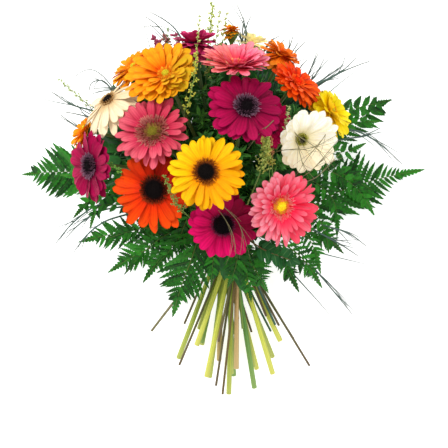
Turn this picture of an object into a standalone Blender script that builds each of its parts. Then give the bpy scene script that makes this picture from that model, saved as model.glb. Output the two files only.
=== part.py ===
"""A hand-tied bouquet of twenty gerberas with fern, bear grass and filler, laid on its back.

The frame is in metres with +Z up. The bouquet lies along Y with its heads toward +Y and its cut
ends toward -Y, and the blooms face up. Sizes below are in millimetres. Every stalk runs through
the waist, where a twine ring holds the bundle. Above the waist the stalks fan out to the heads,
and below it they turn in a spiral and spread to the cut ends.
"""
import math

import bmesh
import bpy
import numpy as np
from mathutils import Matrix, Vector

MM = 0.001

# The clearance that a head keeps from the cup it sits on
GAP = 0.3

# The waist, where the twine holds the bundle, and the bundle's own axes there
WAIST = np.array((8.0, -65.0, 72.0))
AXIS_RISE = math.radians(13.0)
AXIS = np.array((0.0, math.cos(AXIS_RISE), math.sin(AXIS_RISE)))
RIGHT = np.array((1.0, 0.0, 0.0))
FRONT = np.cross(RIGHT, AXIS)

# How the cut ends spread below the waist: outward and round in a spiral, flatter toward the floor
SPREAD = np.array(((0.020, -0.024), (0.010, 0.010)))
SPREAD_START = 18.0
SAG = 0.035

# Stalks: the bare scapes of the blooms, which thin toward the cup, and all the slimmer stalks
SCAPE_RADIUS = 2.9
NECK_RADIUS = 2.3
STALK_RADIUS = 1.5
STALK_GAP = 0.45
WAIST_REACH = 22.0
RIM_REACH = 22.0

# How far a scape runs straight at each end of its bend, as a share of the bend's span
START_HANDLE = 0.36
END_HANDLE = 0.36

# The twine: its own thickness, its turns, and the slack between it and the bundle
TWINE = 1.2
TWINE_TURNS = 3
TIE_SLACK = 1.8
TIE_SIDES = 14

# A head: petal sheet, hub under the florets, and the green cup at the top of its scape
PETAL_THICKNESS = 0.8
HUB_RADIUS = 10.0
HUB_SIDES = 8
CUP_DEPTH = 15.0
CUP_RADIUS = 8.6

BLADE_THICKNESS = 0.8
RIB_HALF_WIDTH = 0.9
LEAFLET_LEAN = math.radians(28.0)

# Colours, linear
GOLD = (1.0, 0.33, 0.01)
YELLOW = (1.0, 0.55, 0.0)
ORANGE = (1.0, 0.16, 0.01)
RED_ORANGE = (1.0, 0.05, 0.0)
CRIMSON = (0.38, 0.0, 0.045)
MAGENTA = (0.72, 0.0, 0.12)
CORAL = (0.95, 0.08, 0.13)
CREAM = (1.0, 0.86, 0.6)
SCAPE_GREEN = (0.42, 0.52, 0.07)
FERN_GREEN = (0.02, 0.13, 0.025)
GRASS_GREEN = (0.10, 0.17, 0.12)
FILLER_GREEN = (0.38, 0.5, 0.14)
LEAF_GREEN = (0.015, 0.09, 0.03)
TWINE_TAN = (0.5, 0.34, 0.17)

# Each bloom: centre, tilt from straight up, direction it leans to, petal length, cup angle,
# petals outside and inside, colour, and the length of its cut end below the waist
BLOOMS = {
    "bloom_yellow_front": ((-19, 29, 222), 8, 90, 46, 6, 14, 7, YELLOW, 160),
    "bloom_crimson_front": ((28, 106, 205), 26, 70, 46, 0, 14, 7, CRIMSON, 187),
    "bloom_coral_left": ((-82, 78, 190), 18, 135, 45, 4, 14, 7, CORAL, 150),
    "bloom_vermilion_left": ((-81, 11, 176), 14, 215, 48, 2, 14, 7, RED_ORANGE, 104),
    "bloom_magenta_low": ((1, -31, 170), 16, 270, 41, 6, 14, 7, MAGENTA, 120),
    "bloom_coral_right": ((69, -9, 180), 26, 330, 47, 10, 14, 7, CORAL, 148),
    "bloom_gold_top": ((-67, 147, 180), 38, 115, 48, 12, 14, 7, GOLD, 174),
    "bloom_crimson_left": ((-160, 40, 150), 50, 185, 44, 2, 13, 7, CRIMSON, 153),
    "bloom_cream_left": ((-138, 119, 152), 56, 130, 42, -28, 13, 6, CREAM, 128),
    "bloom_coral_top": ((16, 158, 176), 60, 88, 44, 14, 13, 7, CORAL, 166),
    "bloom_cream_right": ((95, 72, 163), 30, 318, 44, 14, 14, 7, CREAM, 161),
    "bloom_orange_right": ((90, 141, 148), 56, 48, 36, 4, 12, 6, RED_ORANGE, 144),
    "bloom_yellow_right": ((133, 110, 128), 62, 22, 38, 6, 12, 6, YELLOW, 120),
    "bloom_crimson_top": ((-34, 191, 136), 78, 98, 34, 20, 10, 5, CRIMSON, 176),
    "bloom_gold_back": ((-110, 165, 108), 64, 128, 36, 6, 10, 5, GOLD, 158),
    "bloom_orange_top": ((12, 212, 106), 80, 88, 26, 20, 10, 5, ORANGE, 160),
    "bloom_cream_top": ((37, 200, 78), 80, 76, 30, 20, 10, 5, CREAM, 170),
    "bloom_orange_back": ((76, 180, 110), 70, 60, 32, 10, 10, 5, ORANGE, 150),
    "bloom_magenta_inner": ((58, 90, 150), 40, 340, 28, 12, 10, 5, MAGENTA, 183),
    "bloom_gold_left": ((-172, 90, 92), 72, 165, 32, 8, 10, 5, GOLD, 136),
}

# Each fern frond: the points it runs through above the waist, its half width, its leaflet pairs,
# how far along the blade starts, how much its leaflets arch down, and its length below the waist
FRONDS = {
    "frond_left": (((-60, -28, 42), (-148, 30, 22), (-269, 36, 2)), 40, 10, 0.52, 0.10, 117),
    "frond_left_low": (((-50, -50, 75), (-120, -42, 66), (-186, -54, 52)), 30, 8, 0.45, 0.12, 90),
    "frond_low_left": (((-36, -50, 84), (-92, -62, 92), (-145, -92, 78)), 30, 8, 0.42, 0.12, 105),
    "frond_collar_left": (((-20, -38, 104), (-42, -84, 116), (-64, -150, 92)), 30, 8, 0.42, 0.12, 150),
    "frond_collar": (((16, -34, 118), (18, -76, 124), (6, -112, 106)), 26, 7, 0.46, 0.10, 168),
    "frond_collar_right": (((20, -56, 108), (36, -80, 114), (58, -118, 92)), 26, 7, 0.42, 0.10, 110),
    "frond_low_right": (((46, -44, 91), (92, -66, 88), (128, -112, 70)), 28, 7, 0.42, 0.12, 85),
    "frond_right_low": (((62, -44, 61), (120, -40, 58), (160, -70, 46)), 28, 7, 0.45, 0.12, 98),
    "frond_right": (((70, -34, 44), (160, 14, 22), (268.8, 42, 2)), 44, 10, 0.50, 0.10, 153),
    "frond_right_up": (((60, 10, 40), (140, 80, 34), (222, 134, 22)), 34, 8, 0.56, 0.10, 120),
    "frond_back_left": (((-30, 20, 24), (-70, 100, 6), (-120, 180, 0.4)), 40, 9, 0.5, 0.0, 120),
    "frond_back": (((20, 0, 26), (34, 90, 0.4), (30, 196, 0.4)), 42, 10, 0.5, 0.0, 130),
}


# Bear grass, by bunch: where the strands part, the points each runs through, length below the waist
GRASS = {
    "grass_left": ((-30, 12, 46), (((-120, 80, 44), (-200, 128, 62), (-238, 150, 70)),
                                  ((-110, 100, 40), (-176, 168, 70), (-212, 138, 64)),
                                  ((-70, 120, 42), (-92, 190, 52), (-104, 236, 60)),
                                  ((-96, -4, 52), (-168, -12, 56), (-212, -54, 50))), 100),
    "grass_right": ((26, 20, 44), (((30, 110, 38), (20, 190, 52), (6, 236, 62)),
                                   ((44, 110, 38), (52, 190, 34), (36, 232, 44)),
                                   ((66, 120, 40), (92, 180, 56), (98, 214, 64)),
                                   ((90, 90, 44), (150, 150, 52), (190, 180, 58)),
                                   ((100, 60, 46), (180, 90, 56), (232, 48, 50))), 117),
    "grass_low": ((42, -59, 78), (((76, -70, 74), (130, -100, 72), (166, -146, 66)),
                                  ((84, -58, 72), (140, -72, 72), (190, -84, 60)),
                                  ((70, -76, 76), (110, -116, 78), (140, -150, 72))), 95),
}

# Filler sprigs: the points the stem runs through, its side twigs, its length below the waist
FILLER = {
    "filler_top": (((-16, 20, 62), (-24, 130, 62), (-12, 252.9, 70)), 7, 120),
    "filler_front": (((28, -14, 130), (47, 36, 168), (54, 84, 202)), 7, 100),
}

# The twig with round dark leaves: its run, its leaves, its length below the waist
LEAFY_TWIGS = {
    "leafy_twig": (((30, -50, 116), (50, -62, 130), (86, -76, 124)), 7, 176),
}
TWIG_LENGTH = 17.0
LEAF_LENGTH = 18.0
LEAF_CORNERS = 6


def clear_scene():
    for obj in list(bpy.data.objects):
        bpy.data.objects.remove(obj, do_unlink=True)


def make_collection(name):
    collection = bpy.data.collections.new(name)
    bpy.context.scene.collection.children.link(collection)
    return collection


def make_material(name, colour, roughness):
    material = bpy.data.materials.new(name)
    material.use_nodes = True
    shader = material.node_tree.nodes["Principled BSDF"]
    shader.inputs["Base Color"].default_value = (*colour, 1.0)
    shader.inputs["Roughness"].default_value = roughness
    shader.inputs["Metallic"].default_value = 0.0
    return material


def applied(obj, whole_faces=False):
    """Replace an object by a plain mesh object of what its modifiers or its curve make.

    A piece that is still to be joined keeps its flat many-sided faces whole.
    """
    bpy.context.view_layer.update()
    evaluated = obj.evaluated_get(bpy.context.evaluated_depsgraph_get())
    mesh = bpy.data.meshes.new_from_object(evaluated)
    shape = bmesh.new()
    shape.from_mesh(mesh)
    bmesh.ops.remove_doubles(shape, verts=shape.verts, dist=1e-6)
    cut = [face for face in shape.faces if len(face.verts) < 5 or not whole_faces]
    bmesh.ops.triangulate(shape, faces=cut)
    shape.to_mesh(mesh)
    shape.free()
    solid = bpy.data.objects.new(obj.name + "_solid", mesh)
    solid.matrix_world = obj.matrix_world
    obj.users_collection[0].objects.link(solid)
    bpy.data.objects.remove(obj, do_unlink=True)
    return solid


def tube(name, points, radii, sides, collection):
    """A round tube through the points, in mm, with a radius of its own at each and closed ends."""
    curve = bpy.data.curves.new(name, "CURVE")
    curve.dimensions = "3D"
    curve.bevel_depth = MM
    curve.bevel_resolution = (sides - 4) // 2
    curve.use_fill_caps = True
    spline = curve.splines.new("POLY")
    spline.points.add(len(points) - 1)
    for knot, point, radius in zip(spline.points, points, radii):
        knot.co = (*(np.asarray(point) * MM), 1.0)
        knot.radius = radius
    obj = bpy.data.objects.new(name, curve)
    collection.objects.link(obj)
    return applied(obj)


def sheet(name, points, faces, thickness, collection):
    """An open surface given its thickness, in mm, half to each side."""
    mesh = bpy.data.meshes.new(name)
    mesh.from_pydata([tuple(p) for p in np.asarray(points) * MM], [], faces)
    obj = bpy.data.objects.new(name, mesh)
    collection.objects.link(obj)
    wall = obj.modifiers.new("thickness", "SOLIDIFY")
    wall.thickness = thickness * MM
    wall.offset = 0.0
    return applied(obj, whole_faces=True)


def fused(name, pieces, collection, material):
    """Join solids into one body, the first with all the rest, and give it a name and a material."""
    body = pieces[0]
    if len(pieces) > 1:
        rest = make_collection(name + "_pieces")
        for piece in pieces[1:]:
            for home in list(piece.users_collection):
                home.objects.unlink(piece)
            rest.objects.link(piece)
        union = body.modifiers.new("union", "BOOLEAN")
        union.operation = "UNION"
        union.operand_type = "COLLECTION"
        union.collection = rest
        union.solver = "EXACT"
        body = applied(body)
        for piece in list(rest.objects):
            bpy.data.objects.remove(piece, do_unlink=True)
        bpy.data.collections.remove(rest)
    body.name = name
    body.data.name = name
    body.data.materials.clear()
    body.data.materials.append(material)
    return body


def facing(tilt, lean):
    """The way a bloom faces, leaning by tilt degrees from straight up toward a compass angle."""
    t = math.radians(tilt)
    a = math.radians(lean)
    return np.array((math.sin(t) * math.cos(a), math.sin(t) * math.sin(a), math.cos(t)))


def spline_through(points, samples):
    """Points along a smooth curve through the given ones, at the samples from 0 to 1 of its run.

    Each span is a cubic whose end slopes are the neighbours' slopes weighted by chord length.
    """
    p = np.asarray(points, float)
    chords = np.linalg.norm(np.diff(p, axis=0), axis=1)
    at = np.concatenate(([0.0], np.cumsum(chords)))
    slopes = np.diff(p, axis=0) / chords[:, None]
    ends = [slopes[0]]
    for k in range(1, len(p) - 1):
        share = chords[k] / (chords[k] + chords[k - 1])
        ends.append(slopes[k - 1] * share + slopes[k] * (1 - share))
    ends.append(slopes[-1] * 1.5 - ends[-1] * 0.5)
    out = []
    for s in samples:
        where = s * at[-1]
        k = int(min(np.searchsorted(at, where, side="right") - 1, len(chords) - 1))
        h = chords[k]
        t = (where - at[k]) / h
        out.append((1 + 2 * t) * (1 - t) ** 2 * p[k] + t * (1 - t) ** 2 * h * ends[k]
                   + t * t * (3 - 2 * t) * p[k + 1] - t * t * (1 - t) * h * ends[k + 1])
    return np.array(out)


def bezier(a, b, c, d, samples):
    s = np.asarray(samples)[:, None]
    return a * (1 - s) ** 3 + 3 * b * s * (1 - s) ** 2 + 3 * c * s * s * (1 - s) + d * s ** 3


def wanted_slot(target, at_rim):
    """Where in the waist a stalk would like to lie: on the side that it leans out to above.

    A stalk of the rim lies outside all the others, whatever its lean.
    """
    offset = np.asarray(target, float) - WAIST
    along = max(offset @ AXIS, 20.0)
    lean = np.array((offset @ RIGHT, offset @ FRONT)) / along
    size = math.hypot(*lean)
    reach = RIM_REACH if at_rim else WAIST_REACH * math.atan(size) / 1.2
    return lean / max(size, 1e-6) * reach


def pack_waist(wanted, radii):
    """Lay the stalks side by side: each in turn goes against two already there, nearest its wish."""
    order = sorted(range(len(wanted)), key=lambda i: math.hypot(*wanted[i]))
    spots = {}
    for i in order:
        reach = radii[i] + STALK_GAP
        if not spots:
            spots[i] = np.zeros(2)
            continue
        if len(spots) == 1:
            first = order[0]
            way = wanted[i] / max(math.hypot(*wanted[i]), 1e-6)
            spots[i] = spots[first] + way * (radii[first] + reach)
            continue
        best = None
        laid = list(spots)
        for a in laid:
            for b in laid:
                if a == b:
                    continue
                ra = radii[a] + reach
                rb = radii[b] + reach
                across = spots[b] - spots[a]
                d = math.hypot(*across)
                if d >= ra + rb:
                    continue
                x = (d * d + ra * ra - rb * rb) / (2 * d)
                y2 = ra * ra - x * x
                if y2 < 0:
                    continue
                u = across / d
                spot = spots[a] + u * x + np.array((-u[1], u[0])) * math.sqrt(y2)
                clear = all(math.hypot(*(spot - spots[k])) > radii[k] + reach - 1e-6 for k in laid)
                cost = math.hypot(*(spot - wanted[i]))
                if clear and (best is None or cost < best[0]):
                    best = (cost, spot)
        spots[i] = best[1]
    laid = np.array([spots[i] for i in range(len(spots))])
    middle = (laid.max(axis=0) + laid.min(axis=0)) / 2
    return laid - middle


def below_waist(slot, depth):
    """A stalk's place at a depth below the waist: it leaves straight and then turns and spreads."""
    reach = depth * depth / (depth + SPREAD_START)
    p = slot + reach * (SPREAD @ slot)
    return WAIST - AXIS * depth + RIGHT * p[0] + FRONT * p[1] - np.array((0.0, 0.0, SAG * reach))


def lower_run(slot, length):
    return [below_waist(slot, depth) for depth in (length, 40.0, 10.0)]


def whorl(name, petals, root, length, rise, droop, cup, width, seed, collection):
    """One ring of petals as a single sheet: narrow at the root, widest at two thirds, pointed."""
    rng = np.random.default_rng(seed)
    points = []
    faces = []
    step = 2 * math.pi / petals
    climb = math.tan(math.radians(cup))

    def place(radius, angle, extra=0.0):
        run = radius - root
        height = rise + climb * run - droop * (run / length) ** 2 * length + extra
        points.append((radius * math.cos(angle), radius * math.sin(angle), height))
        return len(points) - 1

    valleys = [place(root, (i + 0.5) * step) for i in range(petals)]
    faces.append(valleys)
    for i in range(petals):
        angle = (i + 1) * step + rng.uniform(-0.08, 0.08) * step
        reach = root + (length - root) * rng.uniform(0.9, 1.0)
        lift = rng.uniform(-1.0, 1.0)
        shoulder = root + (reach - root) * 0.66
        half = width * 0.5 / shoulder
        low = valleys[i]
        high = valleys[(i + 1) % petals]
        a = place(shoulder, angle - half, lift * 0.6)
        b = place(shoulder, angle + half, lift * 0.6)
        tip = place(reach, angle, lift)
        faces += [(low, a, high), (a, b, high), (a, tip, b)]
    return sheet(name, points, faces, PETAL_THICKNESS, collection)


def disc_head(name, collection):
    """The hub and the floret disc, turned about the bloom's axis, with a raised ring of florets."""
    profile = ((0.0, 4.4), (7.0, 6.4), (HUB_RADIUS, 4.4), (HUB_RADIUS, 0.0), (0.0, 0.0))
    mesh = bpy.data.meshes.new(name)
    mesh.from_pydata([(r * MM, 0.0, h * MM) for r, h in profile],
                     [(i, i + 1) for i in range(len(profile) - 1)], [])
    obj = bpy.data.objects.new(name, mesh)
    collection.objects.link(obj)
    turn = obj.modifiers.new("turn", "SCREW")
    turn.steps = HUB_SIDES
    turn.render_steps = HUB_SIDES
    turn.use_merge_vertices = True
    turn.merge_threshold = 0.00001
    return applied(obj, whole_faces=True)


def build_bloom(name, spec, seed, collection):
    centre, tilt, lean, length, cup, outer, inner, colour, _ = spec
    width = 2 * math.pi * 0.7 * length / outer * 0.94
    inner_length = length * 0.6
    inner_width = 2 * math.pi * 0.62 * inner_length / inner * 0.8
    root = HUB_RADIUS + 0.8
    low = whorl(name + "_outer", outer, root, length, 0.0, 0.12, cup, width, seed, collection)
    high = whorl(name + "_inner", inner, root, inner_length, 2.6, 0.06, cup + 12, inner_width,
                 seed + 100, collection)
    head = disc_head(name + "_disc", collection)
    bloom = fused(name, [low, high, head], collection, make_material(name, colour, 0.5))
    turn = Vector((0, 0, 1)).rotation_difference(Vector(facing(tilt, lean))).to_matrix().to_4x4()
    bloom.matrix_world = Matrix.Translation(Vector(centre) * MM) @ turn
    return bloom


def scape_points(spec, slot):
    """A scape's run: cut end, waist, a bend that brings it up behind the bloom, and its cup."""
    centre, tilt, lean, length = spec[:4]
    normal = facing(tilt, lean)
    centre = np.asarray(centre, float)
    start = below_waist(slot, 0.0)
    seat = centre - normal * (PETAL_THICKNESS / 2 + GAP)
    end = seat - normal * CUP_DEPTH
    span = np.linalg.norm(end - start)
    bend = bezier(start, start + AXIS * START_HANDLE * span, end - normal * END_HANDLE * span, end,
                  (0.0, 0.2, 0.42, 0.7, 1.0))
    cup = [seat - normal * CUP_DEPTH * d for d in (0.4, 0.0)]
    lower = lower_run(slot, spec[8])
    points = lower + list(bend) + cup
    radii = [SCAPE_RADIUS] * len(lower)
    radii += list(np.linspace(SCAPE_RADIUS, NECK_RADIUS, len(bend)))
    radii += [CUP_RADIUS * 0.92, CUP_RADIUS]
    return points, radii


def build_scape(name, spec, slot, collection):
    points, radii = scape_points(spec, slot)
    body = tube(name, points, radii, 6, collection)
    return fused(name, [body], collection, make_material(name, SCAPE_GREEN, 0.55))


def frond_blade(name, path, half_width, pairs, arch, up, collection):
    """A cut blade: leaflets to both sides of the rib, longest near the foot, in one thin sheet."""
    stations = len(path)
    tangents = np.gradient(path, axis=0)
    tangents /= np.linalg.norm(tangents, axis=1)[:, None]
    ups = up - tangents * (tangents @ up)[:, None]
    ups /= np.linalg.norm(ups, axis=1)[:, None]
    sides = np.cross(tangents, ups)
    points = []
    for hand in (-1, 1):
        points += [tuple(p) for p in path + sides * hand * RIB_HALF_WIDTH]
    faces = []
    for k in range(stations - 1):
        faces += [(k, k + stations, k + 1), (k + stations, k + stations + 1, k + 1)]
        along = (k + 0.5) / (stations - 1)
        reach = half_width * (1.0 - along) ** 0.85 * min(1.0, 0.62 + 1.6 * along)
        root = 0.5 * (path[k] + path[k + 1])
        forward = tangents[k]
        pitch = np.linalg.norm(path[k + 1] - path[k])
        for hand in (-1, 1):
            way = sides[k] * hand * math.cos(LEAFLET_LEAN) + forward * math.sin(LEAFLET_LEAN)
            first = len(points)
            for run, back in ((0.42, -0.42), (1.0, 0.0), (0.5, 0.44)):
                spot = root + way * reach * run + forward * back * pitch
                spot = spot - ups[k] * arch * reach * run
                points.append((spot[0], spot[1], max(spot[2], BLADE_THICKNESS / 2)))
            a, tip, b = first, first + 1, first + 2
            low = k + stations if hand == 1 else k
            leaf = [(low, a, b), (low, b, low + 1), (a, tip, b)]
            faces += leaf if hand == 1 else [tuple(reversed(f)) for f in leaf]
    return sheet(name, points, faces, BLADE_THICKNESS, collection)


def stalk_knots(slot, through, flare=0.2):
    """From the waist straight on for a little, a slight flare outward, and the points given."""
    foot = below_waist(slot, 0.0)
    out = (RIGHT * slot[0] + FRONT * slot[1]) * flare
    return [foot, foot + AXIS * 5.0, foot + AXIS * 15.0 + out] + list(through)


def build_frond(name, spec, slot, collection):
    through, half_width, pairs, start, arch, length = spec
    knots = stalk_knots(slot, through)
    path = spline_through(knots, np.linspace(start, 1.0, pairs + 1))
    path[:, 2] = np.maximum(path[:, 2], BLADE_THICKNESS / 2)
    stem = spline_through(knots, np.linspace(0.0, start, 6))
    foot = path[1] * 0.4 + path[0] * 0.6
    points = lower_run(slot, length) + list(stem) + [foot]
    radii = [STALK_RADIUS] * 3 + list(np.linspace(STALK_RADIUS, 1.1, len(stem))) + [0.6]
    rib = tube(name + "_rib", points, radii, 4, collection)
    blade = frond_blade(name + "_blade", path, half_width, pairs, arch, np.array((0, 0, 1.0)),
                        collection)
    return fused(name, [rib, blade], collection, make_material(name, FERN_GREEN, 0.45))


def build_grass(name, spec, slot, collection):
    """A bunch of bear grass: a short stalk of joined roots, and strands that part above it."""
    neck, strands, length = spec
    knots = stalk_knots(slot, [neck])
    stem = spline_through(knots, np.linspace(0.0, 1.0, 5))
    points = lower_run(slot, length) + list(stem)
    stalk = tube(name + "_stalk", points, [STALK_RADIUS] * len(points), 4, collection)
    pieces = [stalk]
    for strand in strands:
        run = spline_through([stem[-2], neck] + list(strand), np.linspace(0.01, 1.0, 6))
        pieces.append(tube(name + "_strand", run, np.linspace(0.75, 0.45, 6), 4, collection))
    return fused(name, pieces, collection, make_material(name, GRASS_GREEN, 0.6))


def build_filler(name, spec, slot, collection):
    """A filler sprig: a slim stem with side twigs, each twig swelling into small buds."""
    through, twigs, length = spec
    knots = stalk_knots(slot, through, 0.0)
    stem = spline_through(knots, np.linspace(0.0, 1.0, 9))
    points = lower_run(slot, length) + list(stem)
    radii = [STALK_RADIUS] * 3 + list(np.linspace(STALK_RADIUS, 0.6, len(stem)))
    pieces = [tube(name + "_stem", points, radii, 4, collection)]
    for k in range(twigs):
        root, ahead = spline_through(knots, (0.97 - 0.3 * k / twigs, 1.0 - 0.3 * k / twigs))
        forward = (ahead - root) / max(np.linalg.norm(ahead - root), 1e-6)
        turn = 2.4 * k
        across = np.cross(forward, (0.0, 0.0, 1.0))
        across /= np.linalg.norm(across)
        out = across * math.cos(turn) + np.cross(forward, across) * math.sin(turn) * 0.5
        reach = TWIG_LENGTH * (0.7 + 0.3 * k / twigs)
        tip = root + (forward * 0.8 + out * 0.6) * reach
        run = [root + (tip - root) * f for f in (0.0, 0.5, 0.72, 1.0)]
        pieces.append(tube(name + "_twig", run, (0.5, 0.6, 1.4, 0.6), 4, collection))
    return fused(name, pieces, collection, make_material(name, FILLER_GREEN, 0.6))


def build_leafy_twig(name, spec, slot, collection):
    """A twig with round leaves set to both sides, each leaf a thin oval on the stem."""
    through, leaves, length = spec
    knots = stalk_knots(slot, through)
    stem = spline_through(knots, np.linspace(0.0, 1.0, 8))
    points = lower_run(slot, length) + list(stem)
    radii = [STALK_RADIUS] * 3 + list(np.linspace(STALK_RADIUS, 0.8, len(stem)))
    pieces = [tube(name + "_stem", points, radii, 4, collection)]
    for k in range(leaves):
        s = 1.0 - 0.42 * k / leaves
        root, ahead = spline_through(knots, (s - 0.02, s))
        forward = (ahead - root) / np.linalg.norm(ahead - root)
        side = np.cross(forward, (0.0, 0.0, 1.0))
        hand = (1, -1)[k % 2]
        way = forward if k == 0 else forward * 0.45 + side * hand * 0.9
        way /= np.linalg.norm(way)
        across = np.cross(way, (0.0, 0.0, 1.0))
        middle = root + way * (LEAF_LENGTH * 0.5)
        outline = []
        for j in range(LEAF_CORNERS):
            angle = 2 * math.pi * j / LEAF_CORNERS
            outline.append(middle + way * math.cos(angle) * LEAF_LENGTH * 0.55
                           + across * math.sin(angle) * LEAF_LENGTH * 0.36)
        pieces.append(sheet(name + "_leaf", outline, [tuple(range(LEAF_CORNERS))], BLADE_THICKNESS,
                            collection))
    return fused(name, pieces, collection, make_material(name, LEAF_GREEN, 0.35))


def build_tie(spots, radii, collection):
    """The twine: three turns side by side in a ring round the bundle, turned about its axis."""
    bundle = max(np.hypot(*spots.T) + np.array(radii))
    inner = (bundle + TIE_SLACK) / math.cos(math.pi / TIE_SIDES)
    profile = []
    for k in range(2 * TWINE_TURNS + 1):
        bulge = 0.0 if k % 2 else -TWINE / 2
        profile.append((inner + 2 * TWINE + bulge, (TWINE_TURNS - k) * TWINE))
    ring = [(inner, TWINE_TURNS * TWINE)] + profile + [(inner, -TWINE_TURNS * TWINE)]
    mesh = bpy.data.meshes.new("tie")
    count = len(ring)
    mesh.from_pydata([(r * MM, 0.0, z * MM) for r, z in ring],
                     [(i, (i + 1) % count) for i in range(count)], [])
    obj = bpy.data.objects.new("tie_ring", mesh)
    collection.objects.link(obj)
    turn = obj.modifiers.new("turn", "SCREW")
    turn.steps = TIE_SIDES
    turn.render_steps = TIE_SIDES
    turn.use_merge_vertices = True
    turn.merge_threshold = 0.00001
    solid = applied(obj)
    tie = fused("tie_twine", [solid], collection, make_material("tie_twine", TWINE_TAN, 0.8))
    turned = Vector((0, 0, 1)).rotation_difference(Vector(AXIS)).to_matrix().to_4x4()
    tie.matrix_world = Matrix.Translation(Vector(WAIST) * MM) @ turned
    return tie


clear_scene()
bouquet = make_collection("gerbera_bouquet")

targets = [np.asarray(spec[0]) - 18 * facing(*spec[1:3]) for spec in BLOOMS.values()]
targets += [spec[0][0] for spec in FILLER.values()]
inner = len(targets)
targets += [spec[0][0] for spec in FRONDS.values()]
targets += [spec[0] for spec in GRASS.values()]
targets += [spec[0][0] for spec in LEAFY_TWIGS.values()]
stalk_radii = [SCAPE_RADIUS] * len(BLOOMS) + [STALK_RADIUS] * (len(targets) - len(BLOOMS))
slots = pack_waist([wanted_slot(t, i >= inner) for i, t in enumerate(targets)], stalk_radii)

for index, (name, spec) in enumerate(BLOOMS.items()):
    build_bloom(name, spec, index, bouquet)
    build_scape(name.replace("bloom", "scape"), spec, slots[index], bouquet)
slot = len(BLOOMS)
for table, build in ((FILLER, build_filler), (FRONDS, build_frond), (GRASS, build_grass),
                     (LEAFY_TWIGS, build_leafy_twig)):
    for name, spec in table.items():
        build(name, spec, slots[slot], bouquet)
        slot += 1
build_tie(slots, stalk_radii, bouquet)
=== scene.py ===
"""A hand-tied gerbera bouquet, lying on its back: the finish of every piece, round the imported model.

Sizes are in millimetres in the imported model's own frame, with +Z up, the heads toward +Y and the
cut ends toward -Y. A stalk's place in the tied bundle is read from its solid.
"""
import math

import bpy
import numpy as np
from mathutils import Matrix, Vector


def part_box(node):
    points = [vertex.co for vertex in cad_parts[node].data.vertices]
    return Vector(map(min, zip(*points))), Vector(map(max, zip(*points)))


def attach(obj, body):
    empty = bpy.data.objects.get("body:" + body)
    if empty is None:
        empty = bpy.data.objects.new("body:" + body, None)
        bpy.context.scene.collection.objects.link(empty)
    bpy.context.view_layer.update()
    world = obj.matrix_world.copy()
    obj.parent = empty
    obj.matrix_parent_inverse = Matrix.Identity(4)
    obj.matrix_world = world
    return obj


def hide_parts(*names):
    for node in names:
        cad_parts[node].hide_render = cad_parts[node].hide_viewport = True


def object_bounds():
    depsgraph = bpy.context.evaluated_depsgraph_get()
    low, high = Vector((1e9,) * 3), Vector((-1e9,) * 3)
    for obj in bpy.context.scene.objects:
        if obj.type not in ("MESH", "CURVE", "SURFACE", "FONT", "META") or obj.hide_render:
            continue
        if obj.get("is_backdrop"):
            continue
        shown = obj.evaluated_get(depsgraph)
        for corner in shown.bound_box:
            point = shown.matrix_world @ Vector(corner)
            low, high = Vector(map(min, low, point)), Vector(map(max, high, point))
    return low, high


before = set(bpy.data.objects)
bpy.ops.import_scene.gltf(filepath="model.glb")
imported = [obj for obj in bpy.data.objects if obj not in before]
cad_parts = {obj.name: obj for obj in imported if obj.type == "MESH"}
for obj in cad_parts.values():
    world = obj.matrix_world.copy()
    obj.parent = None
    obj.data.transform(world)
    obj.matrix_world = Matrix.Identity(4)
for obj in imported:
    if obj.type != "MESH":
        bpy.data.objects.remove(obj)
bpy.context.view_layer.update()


# The gerbera stalks. Each is a bare, downy scape that runs from its cut end through the tied waist
# and bends up behind its head, where it widens into a cup wrapped in rows of small green bracts.

MM = 0.001
WAIST = np.array((8.0, -65.0, 72.0))
AXIS_RISE = math.radians(13.0)
AXIS = np.array((0.0, math.cos(AXIS_RISE), math.sin(AXIS_RISE)))
RIGHT = np.array((1.0, 0.0, 0.0))
UP = np.array((0.0, 0.0, 1.0))
FRONT = np.cross(RIGHT, AXIS)
WAIST_BAND = 3.5
BUNDLE_REACH = 29.0

# How the cut ends spread below the waist: outward and round in a spiral, sinking to the floor
SPREAD = np.array(((0.020, -0.024), (0.010, 0.010)))
SPREAD_START = 18.0
SAG = 0.035

SCAPE_RADIUS = 2.9
CUT_SWELL = 0.5
NECK_RADIUS = 2.3
HANDLE = 0.36
CUP_DEPTH = 15.0
CUP_RADIUS = 8.6
SEAT = 0.7
BRACT_ROWS = ((0.34, 11, 7.5), (0.56, 13, 8.5), (0.80, 15, 9.0))
BRACT_RUN = np.array((0.0, 0.25, 0.65, 1.0))[:, None]
STALK_SIDES = 12
STALK_BENDS = 22
CUT_PITH = "D9C79A"
# Painted shade on the upper stalks, where they run in among the leaves
STALK_SHADE_AMONG_LEAVES = "24420F"

# What would sink is eased to stay over the table: the height the ease starts at, and the lowest
EASE_BELOW = 5.0
LOWEST = 0.15

GOLDEN = math.radians(137.508)
MARKS = ("along", "across", "mark", "part")
ACROSS_BLADE = np.array((1.0, 0.0, -1.0, 0.0))


def paint(code):
    """A colour from its sRGB hex code, as linear red, green and blue."""
    s = np.array([int(code[i:i + 2], 16) for i in (0, 2, 4)]) / 255
    return np.where(s <= 0.04045, s / 12.92, ((s + 0.055) / 1.055) ** 2.4)


def evenly(count):
    return np.linspace(0.0, 1.0, count)


def unit(v):
    return v / np.linalg.norm(v, axis=-1, keepdims=True)


def square_to(v, way):
    """The direction of the part of v that is square to way."""
    return unit(v - way * (v * way).sum(-1, keepdims=True))


def spokes(angle):
    """Level directions at these angles."""
    return np.stack((np.cos(angle), np.sin(angle), np.zeros_like(angle)), axis=-1)


def round_axis(angle):
    """Directions away from the tied stalks' axis, at these angles round it."""
    return RIGHT * np.cos(angle)[..., None] + FRONT * np.sin(angle)[..., None]


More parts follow.
